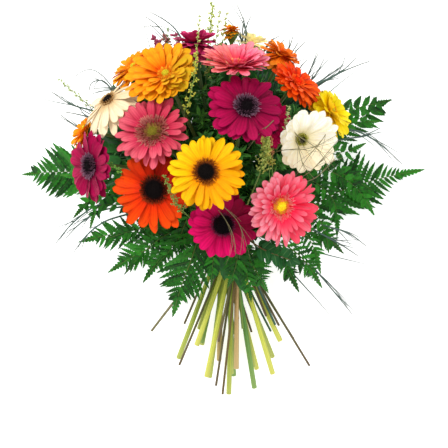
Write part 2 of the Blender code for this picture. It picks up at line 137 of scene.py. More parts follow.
def sunflower(count, turn=0.0):
    """Spots that fill a disc at the golden angle: how far out each is, up to 1, and which way."""
    order = np.arange(count) + 0.5
    return np.sqrt(order / count)[:, None], spokes(order * GOLDEN + turn)


def corners(node):
    """The corner points of a node's solid, in mm, each once."""
    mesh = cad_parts[node].data
    co = np.empty(len(mesh.vertices) * 3)
    mesh.vertices.foreach_get("co", co)
    return np.unique(np.round(co.reshape(-1, 3) / MM, 2), axis=0)


def waist_spot(node):
    """Where a stalk crosses the waist, across and front, and how deep its cut end lies below it."""
    offset = corners(node) - WAIST
    along = offset @ AXIS
    flat = offset @ np.stack((RIGHT, FRONT), axis=1)
    ring = flat[(np.abs(along) < WAIST_BAND) & (np.hypot(*flat.T) < BUNDLE_REACH)]
    return ring.mean(axis=0), -along.min()


def below_waist(slot, depths):
    """Points down a stalk: along the axis, drifting by the spread times depth² / (depth + start)."""
    reach = (depths ** 2 / (depths + SPREAD_START))[:, None]
    drift = slot + reach * (SPREAD @ slot)
    return WAIST - AXIS * depths[:, None] + RIGHT * drift[:, :1] + FRONT * drift[:, 1:] - UP * SAG * reach


def bezier(a, b, c, d, samples):
    """Cubic curves from a to d that leave toward b and arrive from c, at samples from 0 to 1."""
    s = samples[:, None]
    a, b, c, d = (p[..., None, :] for p in (a, b, c, d))
    return a * (1 - s) ** 3 + 3 * b * s * (1 - s) ** 2 + 3 * c * s * s * (1 - s) + d * s ** 3


def facing(tilt, lean):
    """The way a head faces: tilt degrees from straight up, toward the compass angle lean."""
    t = math.radians(tilt)
    a = math.radians(lean)
    return np.array((math.sin(t) * math.cos(a), math.sin(t) * math.sin(a), math.cos(t)))


def placed(skins, centre, normal):
    """Skins of a head's own frame, whose +Z is its facing, set at the head's place."""
    spin = np.array(Vector(UP).rotation_difference(Vector(normal)).to_matrix())
    return [(rings @ spin.T + centre, marks) for rings, marks in skins]


def tube_rings(paths, radii, around, side):
    """Circles of points square to paths: the radius times cosine across plus sine up."""
    way = unit(np.gradient(paths, axis=-2))
    across = square_to(side, way)
    up = np.cross(way, across)
    angle = np.linspace(0, 2 * math.pi, around, endpoint=False)[:, None]
    wheel = across[..., None, :] * np.cos(angle) + up[..., None, :] * np.sin(angle)
    return paths[..., None, :] + np.asarray(radii)[..., None, None] * wheel


def above_table(points):
    """The same points, but below the ease the height is the lowest plus their gap times e to the
    power of the drop over that gap, so that what sinks keeps its order and stays above the table.
    """
    z = points[..., 2:]
    gap = EASE_BELOW - LOWEST
    eased = LOWEST + gap * np.exp((np.minimum(z, EASE_BELOW) - EASE_BELOW) / gap)
    return np.concatenate((points[..., :2], np.where(z < EASE_BELOW, eased, z)), axis=-1)


def leaf_rings(root, way, up, length, width, run, fold, curl, thickness):
    """Thin closed leaves: an edge, a crease, an edge and the crease's underside along their run.

    A leaf's half width is its width times the square root of its run times a fall to the tip. It
    bends down by curl times its run squared, and its edges lift by fold times the half width.
    """
    shape = np.sqrt(np.clip(run * 3.2, 0, 1)) * (1 - run ** 2.4) ** 0.7 + 0.03
    root, way, up = (v[..., None, :] for v in (root, way, up))
    side = unit(np.cross(way, up))
    over = np.cross(side, way)
    length, width = (np.asarray(size)[..., None, None] for size in (length, width))
    half = width * shape * 0.5
    spine = root + way * length * run - over * length * curl * run ** 2
    lift = over * half * fold
    edge = side * half
    skin = over * thickness * 0.5 * (1 - 0.6 * run)
    return np.stack((spine + edge + lift, spine + skin, spine - edge + lift, spine - skin), axis=-2)


def blade_marks(rng, run, *leaves):
    """The marks of leaf rings, with a tone drawn for each leaf."""
    tone = rng.uniform(0, 1, leaves)[..., None, None]
    return {"along": run, "across": ACROSS_BLADE, "part": 1.0, "mark": tone}


def build(name, skins, look, *nodes):
    """One mesh of closed skins: each a stack of rings, joined by quads and capped at both ends.

    Each skin comes with its marks, the values along, across, mark and part at its points.
    """
    points = []
    faces = []
    marks = {mark: [] for mark in MARKS}
    first = 0
    for rings, given in skins:
        shape = rings.shape[:-1]
        index = first + np.arange(rings[..., 0].size).reshape(shape)
        here = index[..., :-1, :]
        ahead = index[..., 1:, :]
        quads = np.stack((here, np.roll(here, -1, -1), np.roll(ahead, -1, -1), ahead), axis=-1)
        faces += quads.reshape(-1, 4).tolist()
        faces += index[..., 0, ::-1].reshape(-1, shape[-1]).tolist()
        faces += index[..., -1, :].reshape(-1, shape[-1]).tolist()
        points.append(above_table(rings).reshape(-1, 3))
        for mark in MARKS:
            marks[mark].append(np.broadcast_to(given.get(mark, 0.0), shape).reshape(-1))
        first += index.size
    mesh = bpy.data.meshes.new(name)
    mesh.from_pydata(np.concatenate(points) * MM, [], faces)
    for mark in MARKS:
        values = np.concatenate(marks[mark]).astype(np.float32)
        mesh.attributes.new(mark, "FLOAT", "POINT").data.foreach_set("value", values)
    mesh.shade_smooth()
    mesh.set_sharp_from_angle(angle=math.radians(60))
    mesh.materials.append(look)
    obj = bpy.data.objects.new(name, mesh)
    bpy.context.scene.collection.objects.link(obj)
    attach(obj, "root")
    if nodes:
        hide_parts(*nodes)


class Shade:
    """A socket of a material: arithmetic on it adds Math nodes, and node() adds any other node."""

    def __init__(self, tree, socket=None):
        self.tree = tree
        self.socket = socket

    def node(self, kind, values, out=0, stops=(), **settings):
        """Adds a node: its settings and ramp stops first, then its inputs' values or links."""
        made = self.tree.nodes.new(kind)
        for key, value in settings.items():
            setattr(made, key, value)
        if stops:
            ramp = made.color_ramp
            ramp.elements[0].position, ramp.elements[0].color = stops[0][0], (*stops[0][1], 1)
            ramp.elements[1].position, ramp.elements[1].color = stops[-1][0], (*stops[-1][1], 1)
            for place, colour in stops[1:-1]:
                ramp.elements.new(place).color = (*colour, 1)
        for key, value in values.items():
            if isinstance(value, Shade):
                self.tree.links.new(value.socket, made.inputs[key])
            else:
                made.inputs[key].default_value = value
        return Shade(self.tree, made.outputs[out])

    def maths(self, operation, a, b=0.0):
        return self.node("ShaderNodeMath", {0: a, 1: b}, operation=operation)

    def __add__(self, other):
        return self.maths("ADD", self, other)

    def __sub__(self, other):
        return self.maths("SUBTRACT", self, other)

    def __rsub__(self, other):
        return self.maths("SUBTRACT", other, self)

    def __mul__(self, other):
        return self.maths("MULTIPLY", self, other)

    def __pow__(self, other):
        return self.maths("POWER", self, other)

    __radd__ = __add__
    __rmul__ = __mul__

    def wave(self):
        """From 0 to 1 and back, as half of one plus the sine."""
        return self.maths("SINE", self) * 0.5 + 0.5

    def mark(self, name):
        return self.node("ShaderNodeAttribute", {}, out="Fac", attribute_name=name)

    def grain(self, scale, detail=2.0):
        """A fine noise fixed to the piece, with features of 1000 / scale mm."""
        place = self.node("ShaderNodeTexCoord", {}, out="Object")
        return self.node("ShaderNodeTexNoise", {"Vector": place, "Scale": scale, "Detail": detail})

    def ramp(self, *stops):
        return self.node("ShaderNodeValToRGB", {"Fac": self}, stops=stops)

    def mix(self, a, b):
        """Colour a where this value is 0 and colour b where it is 1."""
        a, b = (c if isinstance(c, Shade) else (*c, 1) for c in (a, b))
        return self.node("ShaderNodeMix", {0: self, 6: a, 7: b}, out=2, data_type="RGBA")


def finish(name, roughness, bump, recipe, *inputs, **constants):
    """A Principled material: recipe takes the inputs, with hex codes as colours, and gives the
    colour, the roughness change and the relief, which is bump mm high.
    """
    material = bpy.data.materials.new(name)
    material.use_nodes = True
    shader = material.node_tree.nodes["Principled BSDF"]
    inputs = [paint(value) if isinstance(value, str) else value for value in inputs]
    colour, rough, relief = recipe(Shade(material.node_tree), *inputs)
    normal = relief.node("ShaderNodeBump", {"Height": relief, "Strength": 1.0, "Distance": bump * MM})
    for key, shade in {"Base Color": colour, "Roughness": rough + roughness, "Normal": normal}.items():
        material.node_tree.links.new(shade.socket, shader.inputs[key])
    for key, value in constants.items():
        shader.inputs[key.replace("_", " ")].default_value = value
    return material


def stalk_recipe(s, light, dark, pith, shaded):
    """Green that ripens up the stalk, streaked lengthways, with painted shade among the leaves, dry and pale
    at the cut.
    """
    grain = s.grain(420.0)
    streak = (s.mark("across") * 19.0 + grain * 5.0).wave()
    body = (grain * 0.5 + streak * 0.55).mix(light, dark)
    # Painted shade: from about a third of its run on, the stalk darkens where it runs in among the greens
    shade_among_leaves = s.maths("MINIMUM", s.maths("MAXIMUM", s.mark("along") * 6.0 - 2.1, 0.0), 1.0)
    body = (shade_among_leaves * 0.82).mix(body, shaded)
    ripe = s.maths("SMOOTH_MIN", s.mark("along") * 6.0, 1.0).mix(light * 0.75 + pith * 0.25, body)
    cut = s.maths("LESS_THAN", s.mark("along"), 0.012)
    return cut.mix(ripe, pith), grain * 0.12, streak


def bract_recipe(s, light, dark):
    grain = s.grain(300.0)
    return (s.mark("along") * 0.7 + grain * 0.3).mix(dark, light), grain * 0.1, grain


def cup_radius(rise):
    """The neck's radius plus the widening times the sine, to the power 1.3, of rise quarter turns."""
    return NECK_RADIUS + (CUP_RADIUS - NECK_RADIUS) * np.sin(rise * math.pi / 2) ** 1.3


# Each head: its centre, tilt from straight up, compass angle of the lean, climb of its petals in
# degrees, and the light and dark of its stalk
STALK_GREEN = ("BECB48", "7E9C2C")
STALK_YELLOW = ("E2E258", "A8BC34")
STALK_DEEP = ("76AC44", "3E7A34")
STALK_TAN = ("CDB070", "A07A48")
HEADS = {
    "yellow_front": ((-19, 29, 222), 8, 90, 6, STALK_YELLOW),
    "crimson_front": ((28, 106, 205), 26, 70, 0, STALK_GREEN),
    "coral_left": ((-82, 78, 190), 18, 135, 4, STALK_GREEN),
    "vermilion_left": ((-81, 11, 176), 14, 215, 2, STALK_GREEN),
    "magenta_low": ((1, -31, 170), 16, 270, 6, STALK_YELLOW),
    "coral_right": ((69, -9, 180), 26, 330, 10, STALK_TAN),
    "gold_top": ((-67, 147, 180), 38, 115, 12, STALK_GREEN),
    "crimson_left": ((-160, 40, 150), 50, 185, 2, STALK_GREEN),
    "cream_left": ((-138, 119, 152), 56, 130, -28, STALK_DEEP),
    "coral_top": ((16, 158, 176), 60, 88, 14, STALK_GREEN),
    "cream_right": ((95, 72, 163), 30, 318, 14, STALK_YELLOW),
    "orange_right": ((90, 141, 148), 56, 48, 4, STALK_GREEN),
    "yellow_right": ((133, 110, 128), 62, 22, 6, STALK_YELLOW),
    "crimson_top": ((-34, 191, 136), 78, 98, 20, STALK_DEEP),
    "gold_back": ((-110, 165, 108), 64, 128, 6, STALK_TAN),
    "orange_top": ((12, 212, 106), 80, 88, -6, STALK_GREEN),
    "cream_top": ((37, 200, 78), 80, 76, 20, STALK_YELLOW),
    "orange_back": ((76, 180, 110), 70, 60, -4, STALK_GREEN),
    "magenta_inner": ((58, 90, 150), 40, 340, 12, STALK_DEEP),
    "gold_left": ((-172, 90, 92), 72, 165, 8, STALK_GREEN),
}

for order, (name, (centre, tilt, lean, climb, green)) in enumerate(HEADS.items()):
    node = "scape_" + name
    rng = np.random.default_rng(order)
    slot, depth = waist_spot(node)
    normal = facing(tilt, lean)
    foot = centre - normal * (SEAT + CUP_DEPTH)
    start = below_waist(slot, np.zeros(1))[0]
    handle = HANDLE * np.linalg.norm(foot - start)
    below = np.concatenate(((depth + 0.02, depth), np.linspace(depth - 0.8, 5.0, 12)))
    upper = bezier(start, start + AXIS * handle, foot - normal * handle, foot, evenly(STALK_BENDS))
    rise = evenly(9)[1:]
    path = np.concatenate((below_waist(slot, below), upper, foot + normal * CUP_DEPTH * rise[:, None]))
    thick = SCAPE_RADIUS + CUT_SWELL * np.clip((below - 30) / (depth - 30), 0, 1)
    thin = np.linspace(SCAPE_RADIUS, NECK_RADIUS, STALK_BENDS)
    radii = np.concatenate((thick, thin, cup_radius(rise)))
    radii[:2] *= (0.55, 0.93)
    rings = tube_rings(path, radii, STALK_SIDES, RIGHT)
    rings[0] += AXIS * 0.5
    along = evenly(len(path))
    along[:2] = 0.0
    body = (rings, {"along": along[:, None], "across": np.linspace(-1, 1, STALK_SIDES)})
    stalk_finish = finish("stalk_" + name, 0.42, 0.12, stalk_recipe, *green, CUT_PITH, STALK_SHADE_AMONG_LEAVES)
    build("stalk_" + name, [body], stalk_finish, node)

    skins = []
    for share, count, length in BRACT_ROWS:
        out = spokes((np.arange(count) + rng.uniform(-0.2, 0.2, count)) * 2 * math.pi / count)
        root = out * (cup_radius(share) - 0.3) + UP * CUP_DEPTH * (share - 1)
        way = unit(out * 0.8 + UP * rng.uniform(0.75, 1.0, count)[:, None])
        leaf = leaf_rings(root, way, square_to(out, way), length, 3.4, BRACT_RUN, -0.2, 0.18, 0.7)
        leaf[..., 2] = np.minimum(leaf[..., 2], -1.2)
        skins.append((leaf, {"along": BRACT_RUN}))
    build("bracts_" + name, placed(skins, centre, normal),
          finish("bracts_" + name, 0.5, 0.1, bract_recipe, "8FAE4A", "3C6A2A"))


# The heads. Each has rows of strap-shaped petals, fluted lengthways and toothed at the tip, round
# a disc of tiny florets: packed buds in the middle and a ring of thread-like ones round them.

PETAL_STATIONS = 10
PETAL_SPAN = np.array((1, 2 / 3, 1 / 3, 0, -1 / 3, -2 / 3, -1))
PETAL_THICKNESS = 0.5
HUB_RADIUS = 10.0
WIDEST = 0.76
TOOTH = 0.7
FLUTE = 0.36

# A head whose petals reach less than this has a smaller hub and disc
FULL_REACH = 42.0

# Rows of petals, outermost first: how many, reach, width, rise above the seat, extra climb in
# degrees, droop in degrees along the petal, hollow of the section, looseness
STRAP = ((22, 1.00, 0.96, 0.6, 0, 12, 0.20, 0.16), (21, 0.95, 0.90, 2.0, 7, 14, 0.24, 0.20))
BROAD = ((20, 1.00, 1.16, 0.6, 0, 10, 0.14, 0.12), (19, 0.95, 1.10, 2.0, 6, 12, 0.18, 0.16))
SPOON = ((20, 1.00, 0.80, 0.6, 0, 8, 0.26, 0.22), (18, 0.90, 0.80, 2.2, 12, 8, 0.30, 0.26))
DENSE = ((24, 1.00, 0.92, 0.4, 0, 10, 0.20, 0.16), (24, 0.93, 0.88, 1.5, 8, 10, 0.22, 0.2),
         (22, 0.72, 0.7, 2.7, 16, 8, 0.25, 0.3))
FRILL = ((22, 1.00, 1.05, 0.4, -6, 14, 0.2, 0.25), (22, 0.96, 1.05, 1.4, 4, 14, 0.22, 0.3),
         (20, 0.84, 0.9, 2.5, 14, 12, 0.25, 0.4), (14, 0.62, 0.62, 3.6, 26, 8, 0.3, 0.5))
CUP = ((22, 1.00, 1.05, 0.4, 4, 12, 0.2, 0.25), (22, 0.96, 1.05, 1.4, 16, 12, 0.22, 0.3),
       (20, 0.84, 0.9, 2.5, 30, 12, 0.25, 0.4), (14, 0.60, 0.62, 3.6, 44, 8, 0.3, 0.5))
BELL = ((18, 1.00, 1.15, 0.2, -50, 10, 0.16, 0.2), (18, 1.00, 1.10, 1.0, -16, 10, 0.18, 0.2),
        (16, 0.95, 1.05, 2.0, 14, 8, 0.2, 0.3), (14, 0.80, 0.95, 3.0, 34, 6, 0.25, 0.3))
BALL = ((16, 1.00, 1.20, 0.2, -80, 8, 0.16, 0.2), (18, 1.00, 1.15, 0.8, -50, 10, 0.18, 0.2),
        (18, 0.98, 1.10, 1.4, -20, 10, 0.2, 0.3), (16, 0.92, 1.00, 2.2, 8, 8, 0.22, 0.4),
        (12, 0.80, 0.90, 3.0, 36, 6, 0.25, 0.4))

# Petal colours: root, middle, tip, back, throat, one side's riper tint and painted shade, the painted shade
# at the edges
YELLOW = ("F09400", "FFC400", "FFD60A", "E8A020", "9A4A06", "FF9A00", "C87400")
GOLD = ("F05600", "FF8E00", "FFAC14", "F09010", "DC4A00", "C8B41C", "D86000")
VERMILION = ("D02000", "FF3E00", "FF560C", "D84818", "7A0E00", "8E0400", "A81800")
RED_ORANGE = ("E02000", "FF3600", "FF5A10", "E0501C", "A01000", "FF7A18", "B81C00")
ORANGE = ("D04A00", "FA7C10", "FF9E2C", "E88A2C", "9E3400", "FF5A10", "B44A00")
CRIMSON = ("5A0024", "A60040", "BC0A50", "8A1044", "3C0018", "740030", "5C0024")
WINE = ("8E003C", "D0125E", "EC4C86", "C43070", "5A0026", "A80048", "8E0038")
MAGENTA = ("8E0034", "DE005A", "F0086C", "B8104E", "560022", "780028", "8C0036")
CORAL = ("AA2038", "D83456", "F0707F", "E06A82", "96302E", "C42846", "B4243E")
CORAL_WARM = ("FF1C42", "FF4468", "FFAAB8", "FB8FA4", "E41C3C", "FF2048", "E84866")
ROSE = ("E82C5A", "F44A70", "FF9CB0", "F88CA4", "F89A70", "FF9A74", "D83860")
CREAM = ("F2E4B0", "FFFBEE", "FFFFF8", "F8F0D8", "C8B85C", "F6E4B4", "DCCEA4")
IVORY = ("DEBC84", "F8E8C8", "FAE6C2", "E8D2AA", "A88048", "E2CCA0", "C2A478")
PALE = ("F4DC6C", "FFF29A", "FFFAC8", "F8EE9C", "D8C050", "FFE47C", "E6CE70")
LEMON = ("FFD000", "FFEC00", "FFF42C", "F2D43A", "C8960A", "FAB400", "DCB400")

# Painted glow: emission on the palest petals that stands in for light passing through them
PAINTED_GLOW = {CREAM: 0.14, PALE: 0.14, IVORY: 0.07}

# Floret discs: radius of the buds, of the ring, length of its threads, colours of the buds, of
# the ring's foot and of its tips
BLACK_BROWN = (9.6, 16.5, 3.6, "0A0504", "8A4210", "C8761E")
BLACK_RED = (11.0, 18.5, 3.8, "0A0404", "4A1408", "9A3C18")
BLACK_PLUM = (10.4, 14.8, 3.4, "0A0408", "30081C", "8A3A5C")
MAUVE = (6.0, 16.0, 4.6, "0C0508", "220E1A", "94687E")
OLIVE = (5.6, 21.0, 6.0, "7A7020", "94423C", "D88478")
SUNNY = (5.6, 17.5, 5.0, "E8CC20", "F06A38", "FF98A4")
LIME = (4.4, 10.0, 4.0, "B8AC24", "F08410", "FFC030")
HONEY = (3.4, 8.6, 3.0, "14100A", "8A8A20", "D8D070")
TAN = (5.6, 11.0, 3.4, "140B06", "8E6230", "E4C48C")
PEACH = (4.0, 12.0, 5.0, "FFC27C", "F88458", "FFDCB0")
EMBER = (4.0, 11.0, 5.0, "D82400", "F03A08", "FF7A28")

# Each head: its rows, colours and disc; the compass angle of its side with a riper tint and painted shade,
# and how far these go; the angle its petals are longest at, their reach there, and how much shorter they are
# opposite
LOOKS = {
    "yellow_front": (STRAP, YELLOW, BLACK_BROWN, -40, 0.8, -60, 47, 0.04),
    "crimson_front": (BROAD, CRIMSON, MAUVE, 20, 0.6, 200, 48, 0.06),
    "coral_left": (SPOON, CORAL, OLIVE, 40, 0.7, 150, 48, 0.08),
    "vermilion_left": (STRAP, VERMILION, BLACK_RED, 55, 1.0, 225, 55, 0.14),
    "magenta_low": (BROAD, MAGENTA, BLACK_PLUM, 48, 1.0, 280, 45, 0.10),
    "coral_right": (DENSE, CORAL_WARM, SUNNY, -5, 0.9, -40, 53, 0.22),
    "gold_top": (FRILL, GOLD, LIME, -10, 1.0, 150, 55, 0.34),
    "crimson_left": (BROAD, CRIMSON, MAUVE, -30, 0.4, 250, 46, 0.08),
    "cream_left": (SPOON, IVORY, TAN, 40, 0.6, 215, 54, 0.24),
    "coral_top": (CUP, ROSE, PEACH, 180, 0.6, 180, 46, 0.06),
    "cream_right": (BROAD, CREAM, HONEY, -90, 0.8, -15, 50, 0.40),
    "orange_right": (FRILL, RED_ORANGE, EMBER, -60, 0.5, 0, 40, 0.16),
    "yellow_right": (BELL, LEMON, LIME, 225, 0.3, 270, 42, 0.34),
    "crimson_top": (BALL, WINE, MAUVE, 0, 0.4, 180, 32, 0.05),
    "gold_back": (FRILL, GOLD, LIME, 180, 0.3, 150, 37, 0.05),
    "orange_top": (BALL, GOLD, LIME, 0, 0.3, 180, 18, 0.36),
    "cream_top": (BALL, PALE, LIME, 0, 0.5, 0, 24, 0.05),
    "orange_back": (BELL, ORANGE, EMBER, 0, 0.6, 180, 32, 0.26),
    "magenta_inner": (BROAD, MAGENTA, BLACK_PLUM, 180, 0.5, 0, 31, 0.05),
    "gold_left": (CUP, GOLD, LIME, 0, 0.2, 235, 36, 0.66),
}


def petal_skin(rng, reach, climb, row, shade_and_tint_side, long_side, short):
    """One row of petals in the head's frame.

    A petal's spine leaves the hub at the climb angle and bends down evenly, so its radius and
    height are the running sums of the cosine and sine of that angle. Its half width widens from a
    narrow claw, holds, and closes as an ellipse. The section is hollow as the square of the way
    across, with three flutes, its edges ripple, and each petal twists and sways a little.
    """
    count, share, wide, rise, extra, droop, hollow, loose = row
    each = (count, 1, 1)
    hub = HUB_RADIUS * min(1.0, reach / FULL_REACH)
    run = (1 - (1 - evenly(PETAL_STATIONS)) ** 1.6)[:, None]
    across = np.concatenate((PETAL_SPAN, PETAL_SPAN[-2:0:-1]))
    under = (np.arange(len(across)) >= len(PETAL_SPAN)) * 1.0
    step = 2 * math.pi / count
    spin = (np.arange(count)[:, None, None] + rng.uniform(0, 1) + rng.uniform(-loose, loose, each)) * step
    # How far each petal lies toward the side that gets the riper tint and the painted shade
    side_shade_and_tint = 0.5 + 0.5 * np.cos(spin - math.radians(shade_and_tint_side))
    near = 0.5 - 0.5 * np.cos(spin - math.radians(long_side))
    length = (reach * share * (1 - short * near) - hub) * rng.uniform(0.86, 1.04, each)
    pitch = np.radians(climb + extra + rng.normal(0, 4.0, each))
    pitch = pitch - np.radians(droop + rng.normal(0, 6.0, each)) * run
    steps = np.diff(run, axis=0, prepend=0.0)
    out = hub - 2.0 + (length + 2.0) * np.cumsum(np.cos(pitch) * steps, axis=1)
    high = rise + length * np.cumsum(np.sin(pitch) * steps, axis=1)
    level = spokes((spin + rng.normal(0, 0.05, each) * run ** 2)[..., 0])
    spine = level * out + UP * high
    way = unit(np.gradient(spine, axis=1))
    side = square_to(np.cross(UP, level), way)
    up = np.cross(way, side)
    twist = rng.normal(0, 0.12, each) + rng.normal(0, 0.25, each) * run
    side, up = side * np.cos(twist) + up * np.sin(twist), up * np.cos(twist) - side * np.sin(twist)
    claw = 0.36 + 0.64 * np.clip(run / 0.62, 0, 1) ** 0.9
    close = np.sqrt(1 - np.clip((run - 0.7) / 0.3, 0, 1) ** 2.6) + 0.03
    half = 0.5 * wide * step * WIDEST * reach * share * claw * close * rng.uniform(0.86, 1.12, each)
    thick = PETAL_THICKNESS * (1 - 0.5 * run) * (1 - np.abs(across) ** 3) * under
    bowl = hollow * rng.uniform(0.2, 1.5, each)
    ripple = 0.07 * np.sin(run * 9 + across * 2 + rng.uniform(0, 6.3, each))
    thirds = np.cos(3 * math.pi * across)
    lift = half * (bowl + ripple) * across ** 2 + FLUTE * thirds * (1 - run) ** 0.3 - thick
    tooth = TOOTH * rng.uniform(-0.4, 1.2, each) * thirds * run ** 8
    spine, side, up, way = (v[:, :, None] for v in (spine, side, up, way))
    rings = spine + side * (half * across)[..., None] + up * lift[..., None] + way * tooth[..., None]
    # The petal's mark: its share of the side's tint and painted shade, with some noise
    tone = np.clip(side_shade_and_tint + rng.normal(0, 0.12, each), 0, 1)
    return rings, {"along": run, "across": across, "part": under, "mark": tone}


def floret_skins(rng, buds, ring, thread):
    """The disc: a low dome, buds set on it at the golden angle, and threads that lean outward."""
    level = np.array((0.5, 2.8, 4.4, 5.2, 5.9, 6.3))[:, None]
    wide = np.array((ring - 1.0, ring - 2.0, buds, 0.86 * buds, 0.5 * buds, 0.4))
    dome = {"part": np.array((1.0, 1.0, 0.2, 0.0, 0.0, 0.0))[:, None]}
    skins = [(tube_rings(UP * level, wide, 24, RIGHT), dome)]
    share, out = sunflower(int(1.3 * buds * buds))
    root = out * buds * share + UP * (5.9 - 1.6 * share ** 2)
    tall = (rng.uniform(1.2, 2.1, share.shape) * (0.6 + 0.5 * share))[..., None]
    t = np.array((0.0, 0.6, 1.0))[:, None]
    rings = tube_rings(root[:, None] + UP * t * tall, np.array((0.66, 0.78, 0.16)), 4, RIGHT)
    skins.append((rings, {"along": t, "mark": rng.uniform(0, 1, tall.shape)}))
    count = int(1.15 * (ring * ring - buds * buds)) + 60
    out = spokes(rng.uniform(0, 2 * math.pi, count))[:, None]
    share = np.sqrt(rng.uniform(0, 1, count))[:, None, None]
    radius = buds - 0.4 + (ring - buds - 0.55 * thread) * share
    lean = 0.2 + 0.75 * share * rng.uniform(0.6, 1.2, (count, 1, 1))
    t = np.array((0.0, 0.4, 0.75, 1.0))[:, None]
    tall = thread * (1.15 - 0.5 * share) * rng.uniform(0.8, 1.15, (count, 1, 1))
    path = out * radius + UP * (2.8 + tall * t) + out * lean * thread * t ** 1.6
    path = path + rng.normal(0, 0.5, (count, 1, 3)) * t ** 2
    rings = tube_rings(path, np.array((0.42, 0.34, 0.44, 0.16)), 3, RIGHT + UP * 0.1)
    own = np.clip(share + rng.normal(0, 0.18, (count, 1, 1)), 0, 1)
    skins.append((rings, {"along": t, "part": 1.0, "mark": own}))
    return skins


def petal_recipe(s, root, middle, tip, back, throat, shade_and_tint_colour, edge_shade, depth):
    """Colour by the way along a petal, streaked lengthways, tinted and painted with shade to one side and at
    the edges, paler below.
    """
    grain = s.grain(160.0, 3.0)
    streak = (s.mark("across") * 10.0 + s.mark("mark") * 9.0 + grain * 3.0).wave()
    veins = (s.mark("across") * 26.0 + grain * 1.5).wave()
    edge = s.maths("ABSOLUTE", s.mark("across")) ** 5.0
    where = s.mark("along") + (grain - 0.5) * 0.14
    face = where.ramp((0.0, throat), (0.13, root), (0.42, middle), (0.96, tip))
    # Toward one side, a riper tint and painted shade, as if a neighbouring head shaded the petals
    ripe = (s.mark("mark") ** 1.6 * depth * (1.15 - s.mark("along") * 0.3)).mix(face, shade_and_tint_colour)
    fade = 1 - s.mark("along") * 0.75
    lined = (streak * fade * 0.5 + veins * fade * 0.3).mix(ripe, root)
    # Painted shade: each petal darkens toward its edges, where it meets its neighbours
    lined = (edge * 0.5).mix(lined, edge_shade)
    toned = s.node("ShaderNodeHueSaturation", {"Color": lined, "Value": grain * 0.24 + 0.9})
    return (s.mark("part") * 0.6).mix(toned, back), grain * 0.14, veins * 0.6 + grain * 0.4


def floret_recipe(s, buds, foot, tip):
    """Buds of their own tone from dark to light, and threads from foot to tip."""
    own = s.mark("mark")
    grain = s.grain(500.0)
    threads = (s.mark("along") * 0.7 + own * 0.8 - 0.55).ramp((0.0, foot), (0.9, tip))
    bud = (s.mark("along") * 0.5 + own * 0.5).mix(buds, buds * 1.9 + 0.004)
    return s.mark("part").mix(bud, threads), grain * 0.2, grain


for order, (name, look) in enumerate(LOOKS.items()):
    rows, petals, disc, shade_and_tint_side, depth, long_side, reach, short = look
    centre, tilt, lean, climb, _ = HEADS[name]
    normal = facing(tilt, lean)
    rng = np.random.default_rng(100 + order)
    skins = [petal_skin(rng, reach, climb, row, shade_and_tint_side, long_side, short) for row in rows]
    # The petals' emission is painted glow, given only to the palest palettes
    skin_finish = finish("petals_" + name, 0.45, 0.25, petal_recipe, *petals, depth,
                         Specular_IOR_Level=0.08, Emission_Color=(1.0, 0.96, 0.8, 1.0),
                         Emission_Strength=PAINTED_GLOW.get(petals, 0.0))
    build("petals_" + name, placed(skins, centre, normal), skin_finish, "bloom_" + name)
    small = min(1.0, reach / FULL_REACH)
    skins = floret_skins(rng, *(size * small for size in disc[:3]))
    disc_finish = finish("florets_" + name, 0.7, 0.05, floret_recipe, *disc[3:], Specular_IOR_Level=0.1)
    build("florets_" + name, placed(skins, centre, normal), disc_finish)


# The ferns. A frond is a wiry rib with pinnae set alternately to both sides. Each pinna is a stiff,
# glossy blade cut into lobes, down to its rib near the foot and to mere teeth near the tip.

STEM_RADIUS = 1.5
STEM_SIDES = 8
FLARE = 0.2
PINNA_LEAN = math.radians(36)
LOBES = 8
LOBE_STEPS = 3
BARK = "6E5848"

# Each frond: the points it runs through above the waist, its half width, its pinna pairs, how far
# along its pinnae start, how much they arch down, the length of its taper in half widths, and the
# length of the undivided blade at its end
FRONDS = {
    "frond_left": (((-60, -28, 42), (-148, 30, 22), (-269, 36, 2)), 45, 17, 0.44, 0.10, 1.55, 24),
    "frond_left_low": (((-50, -50, 75), (-120, -42, 66), (-186, -54, 52)), 24, 12, 0.34, 0.12, 2.0, 34),
    "frond_low_left": (((-36, -50, 84), (-92, -62, 92), (-145, -92, 78)), 24, 12, 0.30, 0.12, 2.0, 34),
    "frond_collar_left": (((-20, -38, 104), (-42, -84, 116), (-64, -150, 92)), 38, 12, 0.30, 0.12, 2.0, 46),
    "frond_collar": (((16, -34, 118), (18, -76, 124), (6, -112, 106)), 22, 9, 0.36, 0.10, 2.0, 26),
    "frond_collar_right": (((20, -56, 108), (36, -80, 114), (58, -118, 92)), 22, 9, 0.32, 0.10, 2.0, 30),
    "frond_low_right": (((46, -44, 91), (92, -66, 88), (128, -112, 70)), 20, 10, 0.34, 0.12, 2.2, 36),
    "frond_right_low": (((62, -44, 61), (120, -40, 58), (160, -70, 46)), 20, 10, 0.36, 0.12, 2.0, 34),
    "frond_right": (((70, -34, 44), (160, 14, 22), (268.8, 42, 2)), 46, 18, 0.38, 0.10, 2.3, 38),
    "frond_right_up": (((60, 10, 40), (140, 80, 34), (222, 134, 22)), 26, 13, 0.46, 0.10, 1.6, 30),
    "frond_back_left": (((-30, 20, 24), (-70, 100, 6), (-120, 180, 0.4)), 40, 11, 0.5, 0.0, 1.8, 24),
    "frond_back": (((20, 0, 26), (34, 90, 0.4), (30, 196, 0.4)), 42, 12, 0.5, 0.0, 1.8, 24),
}

CAMERA_HEIGHT = 1560
CAMERA_FOOT = (2, -31)
FRAME_STEPS = 448
STEP_WIDTH = 1.3
FRAME_LEVEL = 60

